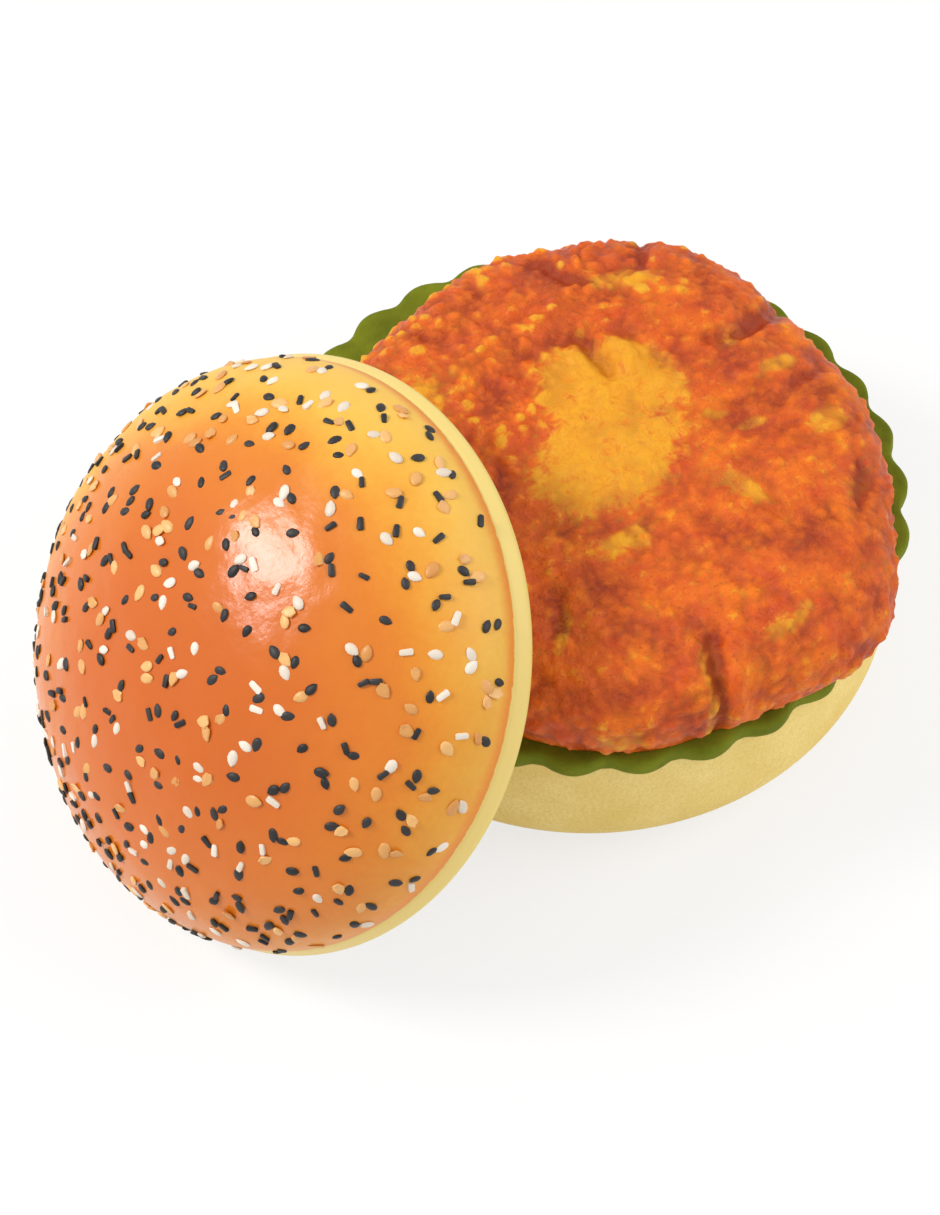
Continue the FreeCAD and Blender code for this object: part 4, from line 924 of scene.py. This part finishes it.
@dataclass
class KeyLegends:
    """Printed numbers and call marks on the handset's keys."""

    lean: Lean
    slot: str = "cream_plastic"
    proud: float = 0.9
    ink: float = 0.06
    digit_size: float = 5.6
    star_grow: float = 1.7
    top_x: float = 12.0
    pitch_x: float = 11.0
    pitch_y: float = 14.5
    call_y: float = 9.8
    call_r: float = 2.9
    call_wide: float = 1.1
    call_arc_deg: float = 150.0
    call_drop: float = 2.1
    call_end: float = 0.45
    call_lift_deg: float = -125.0
    rows: tuple[str, ...] = ("123", "456", "789", "*0#")
    sign_names: tuple[tuple[str, str], ...] = (("*", "star"), ("#", "hash"))

    def lay(self, mark: Piece, key: str, x: float, y: float, finishes: Looks) -> None:
        """Lay a mark, drawn upright in XY, on a key and settle it.

        Args:
            mark: The mark in its own plane.
            key: The key's name, which is also its body's.
            x: The key's place up the face, in millimetres.
            y: The key's place across the face, in millimetres.
            finishes: The finishes by slot.
        """
        turned = Matrix(((0, 1, 0, x * MM), (1, 0, 0, y * MM), (0, 0, -1, -self.proud * MM), (0, 0, 0, 1)))
        move_into(mark, self.lean.matrix() @ turned)
        settle(mark, key + "_legend", finishes, self.slot, key)

    def digit(self, sign: str) -> Piece:
        """Write one sign as a thin mesh, centred.

        Args:
            sign: The digit, star or hash.

        Returns:
            The mark in its own plane.
        """
        text = add_primitive(bpy.ops.object.text_add, location=(0, 0, 0))
        text.data.body = sign
        text.data.size = self.digit_size * MM * (self.star_grow if sign == "*" else 1.0)
        text.data.extrude = self.ink * MM
        text.data.resolution_u = 4
        bpy.ops.object.convert(target="MESH")
        mark = bpy.context.object
        places = read_places(mark)
        middle = (places.min(0) + places.max(0)) / 2
        write_places(mark, places - np.array((middle[0], middle[1], 0.0)))
        tidy_faces(mark)
        return mark

    def call_mark(self, raised: bool) -> Piece:
        """Model a small receiver: a bowed bar with two ends, upright for talk and lying for end.

        Args:
            raised: Whether the receiver is lifted.

        Returns:
            The mark in its own plane.
        """
        mark = add_primitive(bpy.ops.mesh.primitive_grid_add, x_subdivisions=14, y_subdivisions=2, size=1)
        places = read_places(mark)
        turn = places[:, 0] * math.radians(self.call_arc_deg)
        ends = smoothstep(0.28, 0.36, np.abs(places[:, 0]))
        radius = self.call_r + places[:, 1] * self.call_wide * (1.0 + ends) - self.call_end * ends
        places[:, 0] = radius * np.sin(turn) * MM
        places[:, 1] = (radius * np.cos(turn) - self.call_drop) * MM
        write_places(mark, places)
        with editing(mark):
            extrude_ring(self.ink)
            bpy.ops.mesh.select_all(action="SELECT")
            bpy.ops.mesh.normals_make_consistent(inside=False)
            if raised:
                bpy.ops.transform.rotate(value=math.radians(self.call_lift_deg), orient_axis="Z",
                                         center_override=(0, 0, 0))
        return mark

    def build(self, finishes: Looks) -> None:
        """Print every key.

        Args:
            finishes: The finishes by slot.
        """
        names = dict(self.sign_names)
        for row, signs in enumerate(self.rows, start=1):
            for sign, side in zip(signs, (-1, 0, 1)):
                key = "key_" + names.get(sign, sign)
                x, y = self.top_x - row * self.pitch_x, side * self.pitch_y
                self.lay(self.digit(sign), key, x, y, finishes)
        for key, side, raised in (("key_talk", -1, True), ("key_end", 1, False)):
            self.lay(self.call_mark(raised), key, self.top_x, side * self.call_y, finishes)


# Patty

@dataclass(frozen=True)
class Fold:
    """A furrow in the patty between two points in plan, with a raised lip along its left side."""

    start: Pair
    end: Pair
    depth: float
    half_width: float
    lip: float

    def relief(self, plan: np.ndarray) -> np.ndarray:
        """Work out how far the furrow moves each point in or out.

        Args:
            plan: The points in plan, in millimetres.

        Returns:
            The moves in millimetres, outwards above 0.
        """
        start, run = np.array(self.start), np.array(self.end) - np.array(self.start)
        along = np.clip(((plan - start) @ run) / (run @ run), 0.0, 1.0)
        off = plan - start - along[:, None] * run
        distance = np.hypot(off[:, 0], off[:, 1]) / self.half_width
        side = np.sign(run[0] * off[:, 1] - run[1] * off[:, 0])
        fade = np.minimum(1.0, 4.0 * np.minimum(along, 1.0 - along) + 0.35)
        furrow = -self.depth * np.exp(-(distance ** 2))
        crest = np.exp(-(((distance - 2.1) / 1.2) ** 2)) * (side > 0)
        return (furrow + self.lip * crest) * fade


@dataclass(frozen=True)
class Oval:
    """An oval place on the patty in plan: its centre, half sizes, turn and strength."""

    centre: Pair
    half: Pair
    turn_deg: float
    amount: float

    def reach(self, plan: np.ndarray) -> np.ndarray:
        """Measure how far points lie from the middle.

        Args:
            plan: The points in plan, in millimetres.

        Returns:
            Their distances, with 1 on the oval's line.
        """
        turn = math.radians(self.turn_deg)
        off = plan - np.array(self.centre)
        u = (off[:, 0] * math.cos(turn) + off[:, 1] * math.sin(turn)) / self.half[0]
        v = (off[:, 1] * math.cos(turn) - off[:, 0] * math.sin(turn)) / self.half[1]
        return np.hypot(u, v)


class Patch(Oval):
    """A place where the glaze is thin, by the share that is bare in its middle."""

    def weight(self, plan: np.ndarray) -> np.ndarray:
        """Work out how bare each point is, most in the middle and not at all past the edge."""
        return self.amount * (1.0 - smoothstep(0.3, 1.25, self.reach(plan)))


class Swell(Oval):
    """A low lump with a flat top, by its rise in millimetres."""

    def relief(self, plan: np.ndarray) -> np.ndarray:
        """Work out how far the lump lifts each point, in millimetres."""
        cap = 3.0 * np.sqrt(np.clip(1.0 - self.reach(plan) ** 2, 0.0, 1.0)) - 2.0
        return self.amount * np.clip(cap, 0.0, 1.0)


@dataclass
class Patty:
    """The fried patty on the leaf. A grid is wrapped over its form and its vertices are moved in code,
    because no operator or modifier gives folds at set places, and pebbles that fade where it is smooth."""

    lean: Lean
    floor: float = 47.2
    thick: float = 25.0
    outline: tuple[Pair, ...] = (
        (0, 67.5), (18, 70.0), (36, 71.0), (58, 67.0), (82, 65.0), (105, 62.0), (130, 66.0), (155, 70.5),
        (180, 72.5), (203, 75.0), (223, 77.0), (243, 79.5), (262, 78.5), (288, 84.0), (309, 75.5),
        (335, 70.5))
    side: tuple[Pair, ...] = (
        (1.0, 38.0), (0.98, 20.0), (0.92, 9.5), (0.8, 4.0), (0.6, 1.0), (0.3, 0.0), (0.0, 3.5))
    side_steps: int = 160
    side_ease: int = 11
    cells: int = 268
    warp: float = 2.6
    warp_size: float = 10.0
    lump: float = 0.9
    broad_size: float = 17.0
    middle_size: float = 7.5
    pebble: float = 1.15
    pebble_size: float = 4.6
    pebble_mean: float = 0.6
    grain_size: float = 2.7
    grit: float = 0.28
    grit_size: float = 1.7
    bare_limit: float = 0.54
    face_gap: float = 1.8
    pins: tuple[Pair, ...] = ((-54.0, 14.0), (-54.0, -14.0))
    pin_hole_r: float = 2.0
    pin_drill: float = 14.0
    folds: tuple[Fold, ...] = (
        Fold((16.5, 24.0), (13.4, 9.0), 2.5, 2.1, 0.4), Fold((16.5, 24.0), (8.0, 26.5), 1.5, 1.8, 0.4),
        Fold((26.5, 20.0), (27.0, 1.0), 0.7, 1.8, 0.3), Fold((20.0, 53.0), (27.0, 39.0), 1.7, 2.2, 0.4),
        Fold((66.0, 7.0), (49.0, 2.5), 2.6, 2.4, 0.5), Fold((49.0, 2.5), (38.0, 6.0), 0.9, 1.8, 0.2),
        Fold((64.0, -14.0), (40.0, -19.5), 1.2, 1.9, 0.3), Fold((38.1, -56.0), (47.3, -42.0), 1.6, 2.2, 0.4),
        Fold((-12.5, -62.0), (-19.0, -74.0), 2.2, 1.9, 1.3),
        Fold((-19.0, -74.0), (-15.0, -84.0), 1.8, 2.2, 0.6),
        Fold((-34.0, -33.0), (-44.0, -45.0), 0.8, 2.2, 0.3), Fold((52.0, 46.0), (40.0, 34.0), 1.6, 2.2, 0.4),
        Fold((2.0, 62.0), (6.0, 50.0), 0.8, 2.2, 0.2), Fold((-20.0, 58.0), (-14.0, 46.0), 0.7, 2.2, 0.2))
    swells: tuple[Swell, ...] = (
        Swell((20.3, 12.6), (11.2, 5.6), 82, 1.8), Swell((-2.1, -9.8), (25.2, 16.8), 8, 1.0),
        Swell((0.0, 31.5), (26.6, 9.8), -6, 1.3), Swell((36.4, 23.8), (15.4, 11.9), 25, 1.3),
        Swell((44.1, -6.3), (14.0, 9.8), 10, 1.4), Swell((6.3, -53.9), (25.2, 12.6), 0, 1.3),
        Swell((30.8, -37.1), (16.8, 10.5), -40, 1.1), Swell((-25.2, -50.4), (12.6, 8.4), 40, 1.1))
    smooth: tuple[Patch, ...] = (
        Patch((-1.5, -9.0), (24.0, 17.0), 10, 0.72), Patch((9.0, 12.0), (15.0, 14.0), 0, 0.72),
        Patch((22.5, 6.0), (8.0, 14.0), 5, 0.6))
    bare: tuple[Patch, ...] = (
        Patch((-18.5, -71.0), (11.0, 2.8), 64, 0.75), Patch((-16.5, -80.5), (4.5, 3.0), 0, 0.7),
        Patch((-43.0, -70.0), (7.0, 3.5), -30, 0.5), Patch((-40.0, -43.0), (8.0, 2.4), 50, 0.5),
        Patch((44.0, -48.0), (8.0, 2.6), 38, 0.5), Patch((32.5, -20.5), (4.5, 1.7), -12, 0.7),
        Patch((26.5, -14.5), (3.5, 1.5), -20, 0.6), Patch((50.0, -10.0), (7.0, 2.4), 10, 0.5),
        Patch((45.0, 3.0), (7.0, 3.0), 15, 0.45), Patch((18.0, -34.0), (4.0, 9.0), 25, 0.5),
        Patch((-13.0, -31.0), (10.0, 4.0), 0, 0.42), Patch((36.0, 33.0), (12.0, 5.0), -35, 0.4),
        Patch((48.0, -30.0), (7.0, 4.0), 20, 0.38), Patch((4.0, -70.0), (9.0, 4.0), 0, 0.36),
        Patch((-30.0, 30.0), (16.0, 14.0), 0, 0.3))

    def radius_at(self, turns: np.ndarray) -> np.ndarray:
        """Draw the outline as a smooth closed curve through its points.

        Args:
            turns: Angles in degrees.

        Returns:
            The outline's radius at each angle, in millimetres.
        """
        angles = np.array([a for a, _ in self.outline], dtype=float)
        count = len(angles)
        wide = np.concatenate((angles - 360, angles, angles + 360))
        tall = np.tile([r for _, r in self.outline], 3)
        slopes = (np.roll(tall, -1) - np.roll(tall, 1)) / (np.roll(wide, -1) - np.roll(wide, 1))
        turns = np.mod(turns, 360.0)
        left = np.clip(np.searchsorted(wide, turns, side="right") - 1, count - 1, 2 * count)
        gap = wide[left + 1] - wide[left]
        t = (turns - wide[left]) / gap
        return ((2 * t ** 3 - 3 * t ** 2 + 1) * tall[left] + (t ** 3 - 2 * t ** 2 + t) * gap * slopes[left]
                + (3 * t ** 2 - 2 * t ** 3) * tall[left + 1] + (t ** 3 - t ** 2) * gap * slopes[left + 1])

    def side_curve(self) -> tuple[np.ndarray, np.ndarray, np.ndarray]:
        """Draw the rounded side from the flat top down to the leaf.

        Returns:
            Distance along the curve, inset from the outline and height, all in millimetres.
        """
        rise = np.array([h for h, _ in self.side]) * self.thick
        inset = np.array([i for _, i in self.side])
        knots = np.concatenate(([0.0], np.cumsum(np.hypot(np.diff(rise), np.diff(inset)))))
        fine = np.linspace(0.0, knots[-1], self.side_steps)
        curve_rise = np.interp(fine, knots, rise)
        curve_inset = np.interp(fine, knots, inset)
        ease = self.side_ease
        window = np.hanning(2 * ease + 1) / np.hanning(2 * ease + 1).sum()
        for values in (curve_rise, curve_inset):
            before = 2 * values[0] - values[ease:0:-1]
            after = 2 * values[-1] - values[-2:-2 - ease:-1]
            values[:] = np.convolve(np.concatenate((before, values, after)), window, mode="valid")
        return fine, curve_inset, np.maximum(curve_rise, 0.0)

    def base_form(self, grid: np.ndarray) -> np.ndarray:
        """Wrap a square grid over the patty's smooth form.

        Args:
            grid: Places on a square from -1 to 1, in plan.

        Returns:
            Places on the form, in millimetres.
        """
        a, b = grid[:, 0], grid[:, 1]
        wide = np.abs(a) > np.abs(b)
        safe_a, safe_b = np.where(a == 0, 1e-9, a), np.where(b == 0, 1e-9, b)
        reach = np.where(wide, a, b)
        turn = np.where(wide, math.pi / 4 * b / safe_a, math.pi / 2 - math.pi / 4 * a / safe_b)
        turn = np.where(reach < 0, turn + math.pi, turn)
        along, inset, rise = self.side_curve()
        radius = self.radius_at(np.degrees(turn))
        flat = radius - inset[0]
        travel = np.abs(reach) * (flat + along[-1])
        on_top = travel < flat
        past = np.clip(travel - flat, 0.0, along[-1])
        r = np.where(on_top, travel, radius - np.interp(past, along, inset))
        z = np.where(on_top, rise[0], np.interp(past, along, rise)) + self.floor
        return np.stack((r * np.cos(turn), r * np.sin(turn), z), axis=1)

    def sculpt(self, form: np.ndarray) -> tuple[np.ndarray, np.ndarray, np.ndarray]:
        """Work out the patty's lumps, pebbles and folds.

        Args:
            form: Places on the smooth form, in millimetres.

        Returns:
            How far each place moves outwards, how bare it is and how deep it lies, which darkens the hollows
            as dark paint and painted shade.
        """
        shifts = (3.1, 17.7, 29.3)
        warp = np.stack([noise_at(form, self.warp_size, shift) for shift in shifts], axis=1) * self.warp
        plan = form[:, :2]
        bent = plan + warp[:, :2] * 0.8
        smooth = sum(patch.weight(bent) for patch in self.smooth)
        bare = np.clip(smooth + sum(patch.weight(bent) for patch in self.bare), 0.0, self.bare_limit)
        smooth = np.clip(smooth, 0.0, 1.0)
        folds = sum(fold.relief(bent) for fold in self.folds)
        swells = sum(swell.relief(plan) for swell in self.swells)
        broad = noise_at(form, self.broad_size)
        middle = noise_at(form, self.middle_size, 41.0)
        small = pebbles_at(form + warp, self.pebble_size)
        grains = pebbles_at(form + 0.7 * warp + 50.0, self.grain_size)
        tiny = noise_at(form, self.grit_size, 5.0)
        # The crust is rougher towards the back left and down the side than on the bare middle
        upper = smoothstep(-30.0, 30.0, plan[:, 1] - 0.5 * plan[:, 0])
        edge = smoothstep(self.floor + 21.0, self.floor + 12.0, form[:, 2])
        rugged = np.clip(0.55 + 0.5 * upper + 0.4 * edge, 0.0, 1.0) * (1.0 - 0.88 * smooth)
        push = self.lump * (0.8 * broad + 0.6 * middle) * (1.0 - 0.4 * smooth) + folds + swells
        push += self.pebble * (small + 0.5 * grains) * rugged - self.pebble_mean
        push += self.grit * tiny * (0.3 + 0.7 * rugged)
        spots = smoothstep(0.15, 0.95, small) * rugged * (0.22 + 0.34 * upper)
        spots *= smoothstep(-0.35, 0.25, middle)
        # Depth in the hollows, which the finish paints darker as run-in paint and painted shade
        hollow = np.clip(0.55 - 0.5 * small * rugged - 0.25 * grains - 0.4 * folds - 0.4 * middle, 0.0, 1.0)
        hollow *= 1.0 - 0.7 * smooth
        return push, np.clip(bare + spots, 0.0, 1.0), hollow

    def build_crust(self) -> Piece:
        """Wrap a grid into the patty, sculpt it, close it below and open the pins' holes.

        Returns:
            The patty, in its place.
        """
        crust = add_primitive(bpy.ops.mesh.primitive_grid_add, x_subdivisions=self.cells,
                              y_subdivisions=self.cells, size=2)
        form = self.base_form(read_places(crust))
        write_places(crust, form * MM)
        push, bare, hollow = self.sculpt(form)
        to_pins = np.min([np.hypot(form[:, 0] - x, form[:, 1] - y) for x, y in self.pins], axis=0)
        calm = smoothstep(3.5, 9.0, to_pins) * smoothstep(self.floor, self.floor + 3.0, form[:, 2])
        places = form + read_normals(crust) * (push * calm)[:, None]
        # Nothing comes nearer to the handset's face than the gap
        outward = np.array(self.lean.matrix().to_3x3())[:, 2]
        past_face = (places - np.array(self.lean.centre_mm)) @ outward + self.face_gap
        places -= np.clip(past_face, 0.0, None)[:, None] * outward
        write_places(crust, places * MM)
        write_attribute(crust, "bare", bare)
        # The depth goes to the finish, which paints dark paint and painted shade into the hollows
        write_attribute(crust, "hollow", hollow)
        with editing(crust):
            bpy.ops.mesh.select_all(action="DESELECT")
            bpy.ops.mesh.select_mode(type="EDGE")
            bpy.ops.mesh.select_non_manifold()
            for shrink in (0.94, 0.6, 1.0):
                extrude_ring(0.0, shrink)
            bpy.ops.mesh.merge(type="CENTER")
        tidy_faces(crust)
        self.open_pin_holes(crust)
        pick_alone(crust)
        bpy.ops.object.shade_smooth()
        return crust

    def open_pin_holes(self, crust: Piece) -> None:
        """Cut a round hole for each charging pin.

        Args:
            crust: The closed patty.
        """
        for x, y in self.pins:
            drill = add_primitive(
                bpy.ops.mesh.primitive_cylinder_add, vertices=32, radius=self.pin_hole_r * MM,
                depth=self.pin_drill * MM, location=(x * MM, y * MM, (self.floor + self.thick) * MM))
            pick_alone(crust)
            cut = crust.modifiers.new("Pin_hole", "BOOLEAN")
            cut.operation, cut.solver, cut.object = "DIFFERENCE", "EXACT", drill
            bpy.ops.object.modifier_apply(modifier=cut.name)
            bpy.data.objects.remove(drill)

    def build(self, finishes: Looks) -> None:
        """Build the patty."""
        settle(self.build_crust(), "patty_crust", finishes, "fried_patty_plastic", "base", ["patty_shell"])


# Lettuce leaf

@dataclass
class LettuceLeaf:
    """The scalloped leaf between the bottom bun and the patty."""

    floor: float = 42.2
    thick: float = 5.0
    mean_r: float = 78.4
    scallops: int = 30
    depth: float = 2.4
    phase_deg: float = 2.6
    peak_share: float = 0.58
    steps: int = 14
    side_rings: int = 6
    edge: float = 0.9

    def reach(self, turns: np.ndarray) -> np.ndarray:
        """Draw the scallops, with peaks wider than the valleys.

        Args:
            turns: Angles in degrees.

        Returns:
            The outline's offset from its mean radius at each angle, in millimetres.
        """
        step = 360.0 / self.scallops
        phase = np.mod((turns - self.phase_deg) / step + 0.5, 1.0) - 0.5
        half = self.peak_share / 2
        peak = np.cos(np.pi / 2 * phase / half)
        valley = -np.cos(np.pi / 2 * (0.5 - np.abs(phase)) / (0.5 - half))
        return self.depth / 2 * np.where(np.abs(phase) < half, peak, valley)

    def frill(self, leaf: Piece) -> None:
        """Draw in the scallops, round the upper and lower edges and make the side a little uneven.

        The vertices are moved in code, because no operator draws this curve.

        Args:
            leaf: The leaf's side, as a plain ring.
        """
        places = read_places(leaf) / MM
        turns = np.degrees(np.arctan2(places[:, 1], places[:, 0]))
        off_middle = np.abs(2 * (places[:, 2] - self.floor) / self.thick - 1)
        uneven = 0.22 * noise_at(places, 7.0) + 0.12 * noise_at(places, 2.2, 9.0)
        radius = self.mean_r + self.reach(turns) - self.edge * off_middle ** 5 + uneven * (1 - off_middle)
        places[:, 0] = radius * np.cos(np.radians(turns))
        places[:, 1] = radius * np.sin(np.radians(turns))
        write_places(leaf, places * MM)

    def build(self, finishes: Looks) -> None:
        """Raise the leaf from a circle, draw in its scallops and close it.

        Args:
            finishes: The finishes by slot.
        """
        leaf = add_primitive(bpy.ops.mesh.primitive_circle_add, vertices=self.scallops * self.steps,
                             radius=self.mean_r * MM, fill_type="NOTHING", location=(0, 0, 0))
        with editing(leaf):
            bpy.ops.transform.translate(value=(0, 0, self.floor * MM))
            for _ in range(self.side_rings):
                extrude_ring(self.thick / self.side_rings)
        self.frill(leaf)
        with editing(leaf):
            for level in (self.floor, self.floor + self.thick):
                pick_vertices(leaf, lambda at: np.abs(at[:, 2] - level * MM) < 1e-6)
                for shrink in (0.985, 0.93, 0.75):
                    extrude_ring(0.0, shrink)
                bpy.ops.mesh.edge_face_add()
        tidy_faces(leaf)
        pick_alone(leaf)
        bpy.ops.object.shade_smooth_by_angle(angle=math.radians(50))
        settle(leaf, "lettuce_frill", finishes, "lettuce_rubber", "base", ["lettuce_leaf"])


# Studio

@dataclass(frozen=True)
class Softbox:
    """A square soft light: its direction from the object, distance and side in millimetres, and watts."""

    name: str
    towards: Triple
    distance: float
    size: float
    power: float

    def hang(self, aim_mm: Triple) -> None:
        """Hang the light so that it faces the object.

        Args:
            aim_mm: The point it faces.
        """
        data = bpy.data.lights.new(self.name, "AREA")
        data.size = self.size * MM
        data.energy = self.power
        lamp = bpy.data.objects.new(self.name, data)
        direction = Vector(self.towards).normalized()
        lamp.location = (direction * self.distance + Vector(aim_mm)) * MM
        lamp.rotation_euler = direction.to_track_quat("Z", "Y").to_euler()
        bpy.context.scene.collection.objects.link(lamp)


@dataclass
class Studio:
    """The pale floor, the sky, the soft lights and the camera, which is fitted to the photo."""

    camera_mm: Triple = (-249.04, -297.99, 556.09)
    view: Triple = (0.332, 0.4624, -0.8222)
    lens: float = 77.04
    aim_mm: Triple = (-40.0, 0.0, 50.0)
    floor_r: float = 2600.0
    floor_colour: str = "#f4f4f2"
    floor_glow: float = 0.72
    sky: float = 0.6
    lights: tuple[Softbox, ...] = (
        Softbox("key_softbox", (-0.58, 0.38, 0.72), 1300.0, 400.0, 10.5),
        Softbox("right_fill", (0.75, -0.55, 0.7), 1500.0, 900.0, 8.0))

    def seen(self, add: Adder) -> Socket:
        """Tell where a ray comes from the camera, a mirror or glass.

        Args:
            add: Adds a node to the tree that asks.

        Returns:
            A socket that is 1 there and 0 elsewhere.
        """
        path = add("LightPath").node.outputs
        some = add("Math", {0: path["Is Camera Ray"], 1: path["Is Glossy Ray"]}, operation="MAXIMUM")
        return add("Math", {0: some, 1: path["Is Transmission Ray"]}, operation="MAXIMUM")

    def lay_floor(self) -> None:
        """Lay a round of white paper, lit up where the camera sees it, so that it fades into the sky."""
        floor = add_primitive(bpy.ops.mesh.primitive_circle_add, vertices=96, radius=self.floor_r * MM,
                              fill_type="NGON", location=(0, 0, 0))
        floor.name = "studio_floor"
        paper = bpy.data.materials.new("white_paper_floor")
        add = node_adder(paper)
        matt = add("BsdfDiffuse", {"Color": linear(self.floor_colour)})
        glow = add("Emission", {"Color": WHITE, "Strength": 1.0})
        share = add("Math", {0: self.seen(add), 1: self.floor_glow}, operation="MULTIPLY")
        mixed = add("MixShader", {0: share, 1: matt, 2: glow})
        add("OutputMaterial", {"Surface": mixed})
        floor.data.materials.append(paper)

    def set_sky(self) -> None:
        """Set a white sky, which gives less light than it shows."""
        world = bpy.data.worlds.new("studio_sky")
        add = node_adder(world)
        strength = add("MapRange", {"Value": self.seen(add), "To Min": self.sky, "To Max": 1.0})
        sky = add("Background", {"Color": WHITE, "Strength": strength})
        add("OutputWorld", {"Surface": sky})
        bpy.context.scene.world = world

    def aim_camera(self) -> None:
        """Put the camera where the photo was taken from."""
        eye = bpy.data.cameras.new("photo_camera")
        eye.lens = self.lens
        eye.sensor_width = 36.0
        eye.clip_start = 0.01
        camera = bpy.data.objects.new("photo_camera", eye)
        camera.location = Vector(self.camera_mm) * MM
        camera.rotation_euler = Vector(self.view).to_track_quat("-Z", "Y").to_euler()
        bpy.context.scene.collection.objects.link(camera)
        bpy.context.scene.camera = camera

    def build(self) -> None:
        """Set up the floor, the sky, the lights and the camera."""
        bpy.context.scene.view_settings.view_transform = "Standard"
        self.lay_floor()
        self.set_sky()
        for light in self.lights:
            light.hang(self.aim_mm)
        self.aim_camera()


# Dressing of the solids that stay

@dataclass
class Wardrobe:
    """All finishes by slot, and the solids that wear them."""

    lean: Lean
    made: Looks = field(default_factory=dict)

    def finishes(self) -> dict[str, Finish]:
        """List the finishes, with what each gives the eye.

        Returns:
            The finishes by slot.
        """
        crust = BakedCrustFinish("gloss_painted_bun_foam", 0.21, 1.45, self.lean.centre_mm, self.lean.degrees)
        return {
            # Glossy paint that goes from brown to yellow, with broken highlights
            "baked_bun_plastic": crust,
            # Dry and pale, without highlights
            "pale_bun_plastic": SpeckledBunFinish("matt_bun_foam", 0.72),
            # Dull green with dark pin-pricks
            "lettuce_rubber": FoamLeafFinish("dyed_leaf_foam", 0.9, 1.3),
            # Mixed orange and yellow paint with small wet glints, and dark paint with painted shade in its
            # hollows
            "fried_patty_plastic": FriedCrustFinish("varnished_patty_resin", 0.42, 1.36),
            # Injection-moulded plastic with a spark-eroded grain: soft broad highlights
            "cream_plastic": MouldedFinish("cream_abs", 0.46, 1.53, "#f1e3c0", "#ecdcb5", 22.0),
            "page_button_plastic": MouldedFinish("tomato_red_abs", 0.4, 1.53, "#cf4a2e", "#b53c23"),
            "base_plate_plastic": MouldedFinish("pale_base_abs", 0.55, 1.53, "#dcc68a", "#c8b074"),
            "black_plastic": MouldedFinish("black_nylon", 0.45, 1.53, "#2a2a2b", "#1b1b1c"),
            # Silicone keys: deep colour under a soft sheen
            "brown_key": MouldedFinish("brown_key_silicone", 0.5, 1.42, "#8a5427", "#6f3f1b"),
            "green_key": MouldedFinish("green_key_silicone", 0.5, 1.42, "#5f8a35", "#4a7327"),
            "red_key": MouldedFinish("red_key_silicone", 0.5, 1.42, "#c0432a", "#a3331f"),
            # Die-cut rubber: matt, with a dusty bloom
            "dark_rubber": MouldedFinish(
                "black_floor_rubber", 0.85, 1.52, "#3a3937", "#2a2927", 5.0, 0.8, 0.06),
            "grey_rubber": MouldedFinish("grey_silicone", 0.7, 1.42, "#9a9a96", "#84847f", 6.0, 0.7, 0.04),
            # Satin lacquer with tracks under it
            "board_laminate": LaminateFinish("glass_epoxy_board", 0.4, 1.52),
            # Thin plate and zinc: bright with drawn streaks
            "tinned_steel": MetalFinish("tinned_steel", 0.35, light="#d6d6d2", dark="#a7a8a6"),
            "screw_steel": MetalFinish("zinc_screw_steel", 0.38, light="#cfcfca", dark="#8d8e8c"),
            "plated_contact": MetalFinish("nickel_plate", 0.25, light="#dedbd2", dark="#b5b1a6"),
            "gold_contact": MetalFinish("gold_flash", 0.25, light="#e8c36a", dark="#c79a3f"),
            # A tight shiny film with a slow ripple
            "cell_wrap": MouldedFinish("shrunk_cell_sleeve", 0.3, 1.5, "#3f7d52", "#2f6640", 12.0, 2.0, 0.02),
            # Rough and dark, with a grain the same in all directions
            "ballast_iron": MetalFinish(
                "cast_iron", 0.6, light="#6d6a66", dark="#4a4846", stretch=1.0, patch_mm=3.0),
            # Cast resin grains: satin, each a little lighter or darker than the next
            "black_seed": SeedFinish("black_seed_resin", 0.5, 1.42, "#2e2b2a", "#121111"),
            "white_seed": SeedFinish("white_seed_resin", 0.5, 1.5, "#eee2d2", "#d8c8b2"),
            "toasted_flake": SeedFinish("toasted_flake_resin", 0.38, 1.45, "#ecb670", "#cd853c"),
        }

    def make(self) -> Looks:
        """Build every finish once, as materials by slot."""
        self.made = {slot: finish.make() for slot, finish in self.finishes().items()}
        return self.made

    def dress(self) -> None:
        """Give each solid that stays the finish of its slot."""
        for name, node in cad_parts.items():
            slots = node.data.materials
            for index, old in enumerate(slots):
                slot = old.name.split(".")[0] if old else ""
                if slot in self.made:
                    slots[index] = self.made[slot]
                else:
                    LOG.warning("%s has no finish for %s", name, slot)
            LOG.info("%s dressed", name)


def main() -> None:
    """Build the telephone's looks in order."""
    logging.basicConfig(level=logging.INFO, format="%(message)s")
    lean = Lean()
    Studio().build()
    wardrobe = Wardrobe(lean)
    finishes = wardrobe.make()
    wardrobe.dress()
    TopBun(lean).build(finishes)
    KeyLegends(lean).build(finishes)
    Patty(lean).build(finishes)
    LettuceLeaf().build(finishes)


if __name__ == "__main__":
    main()
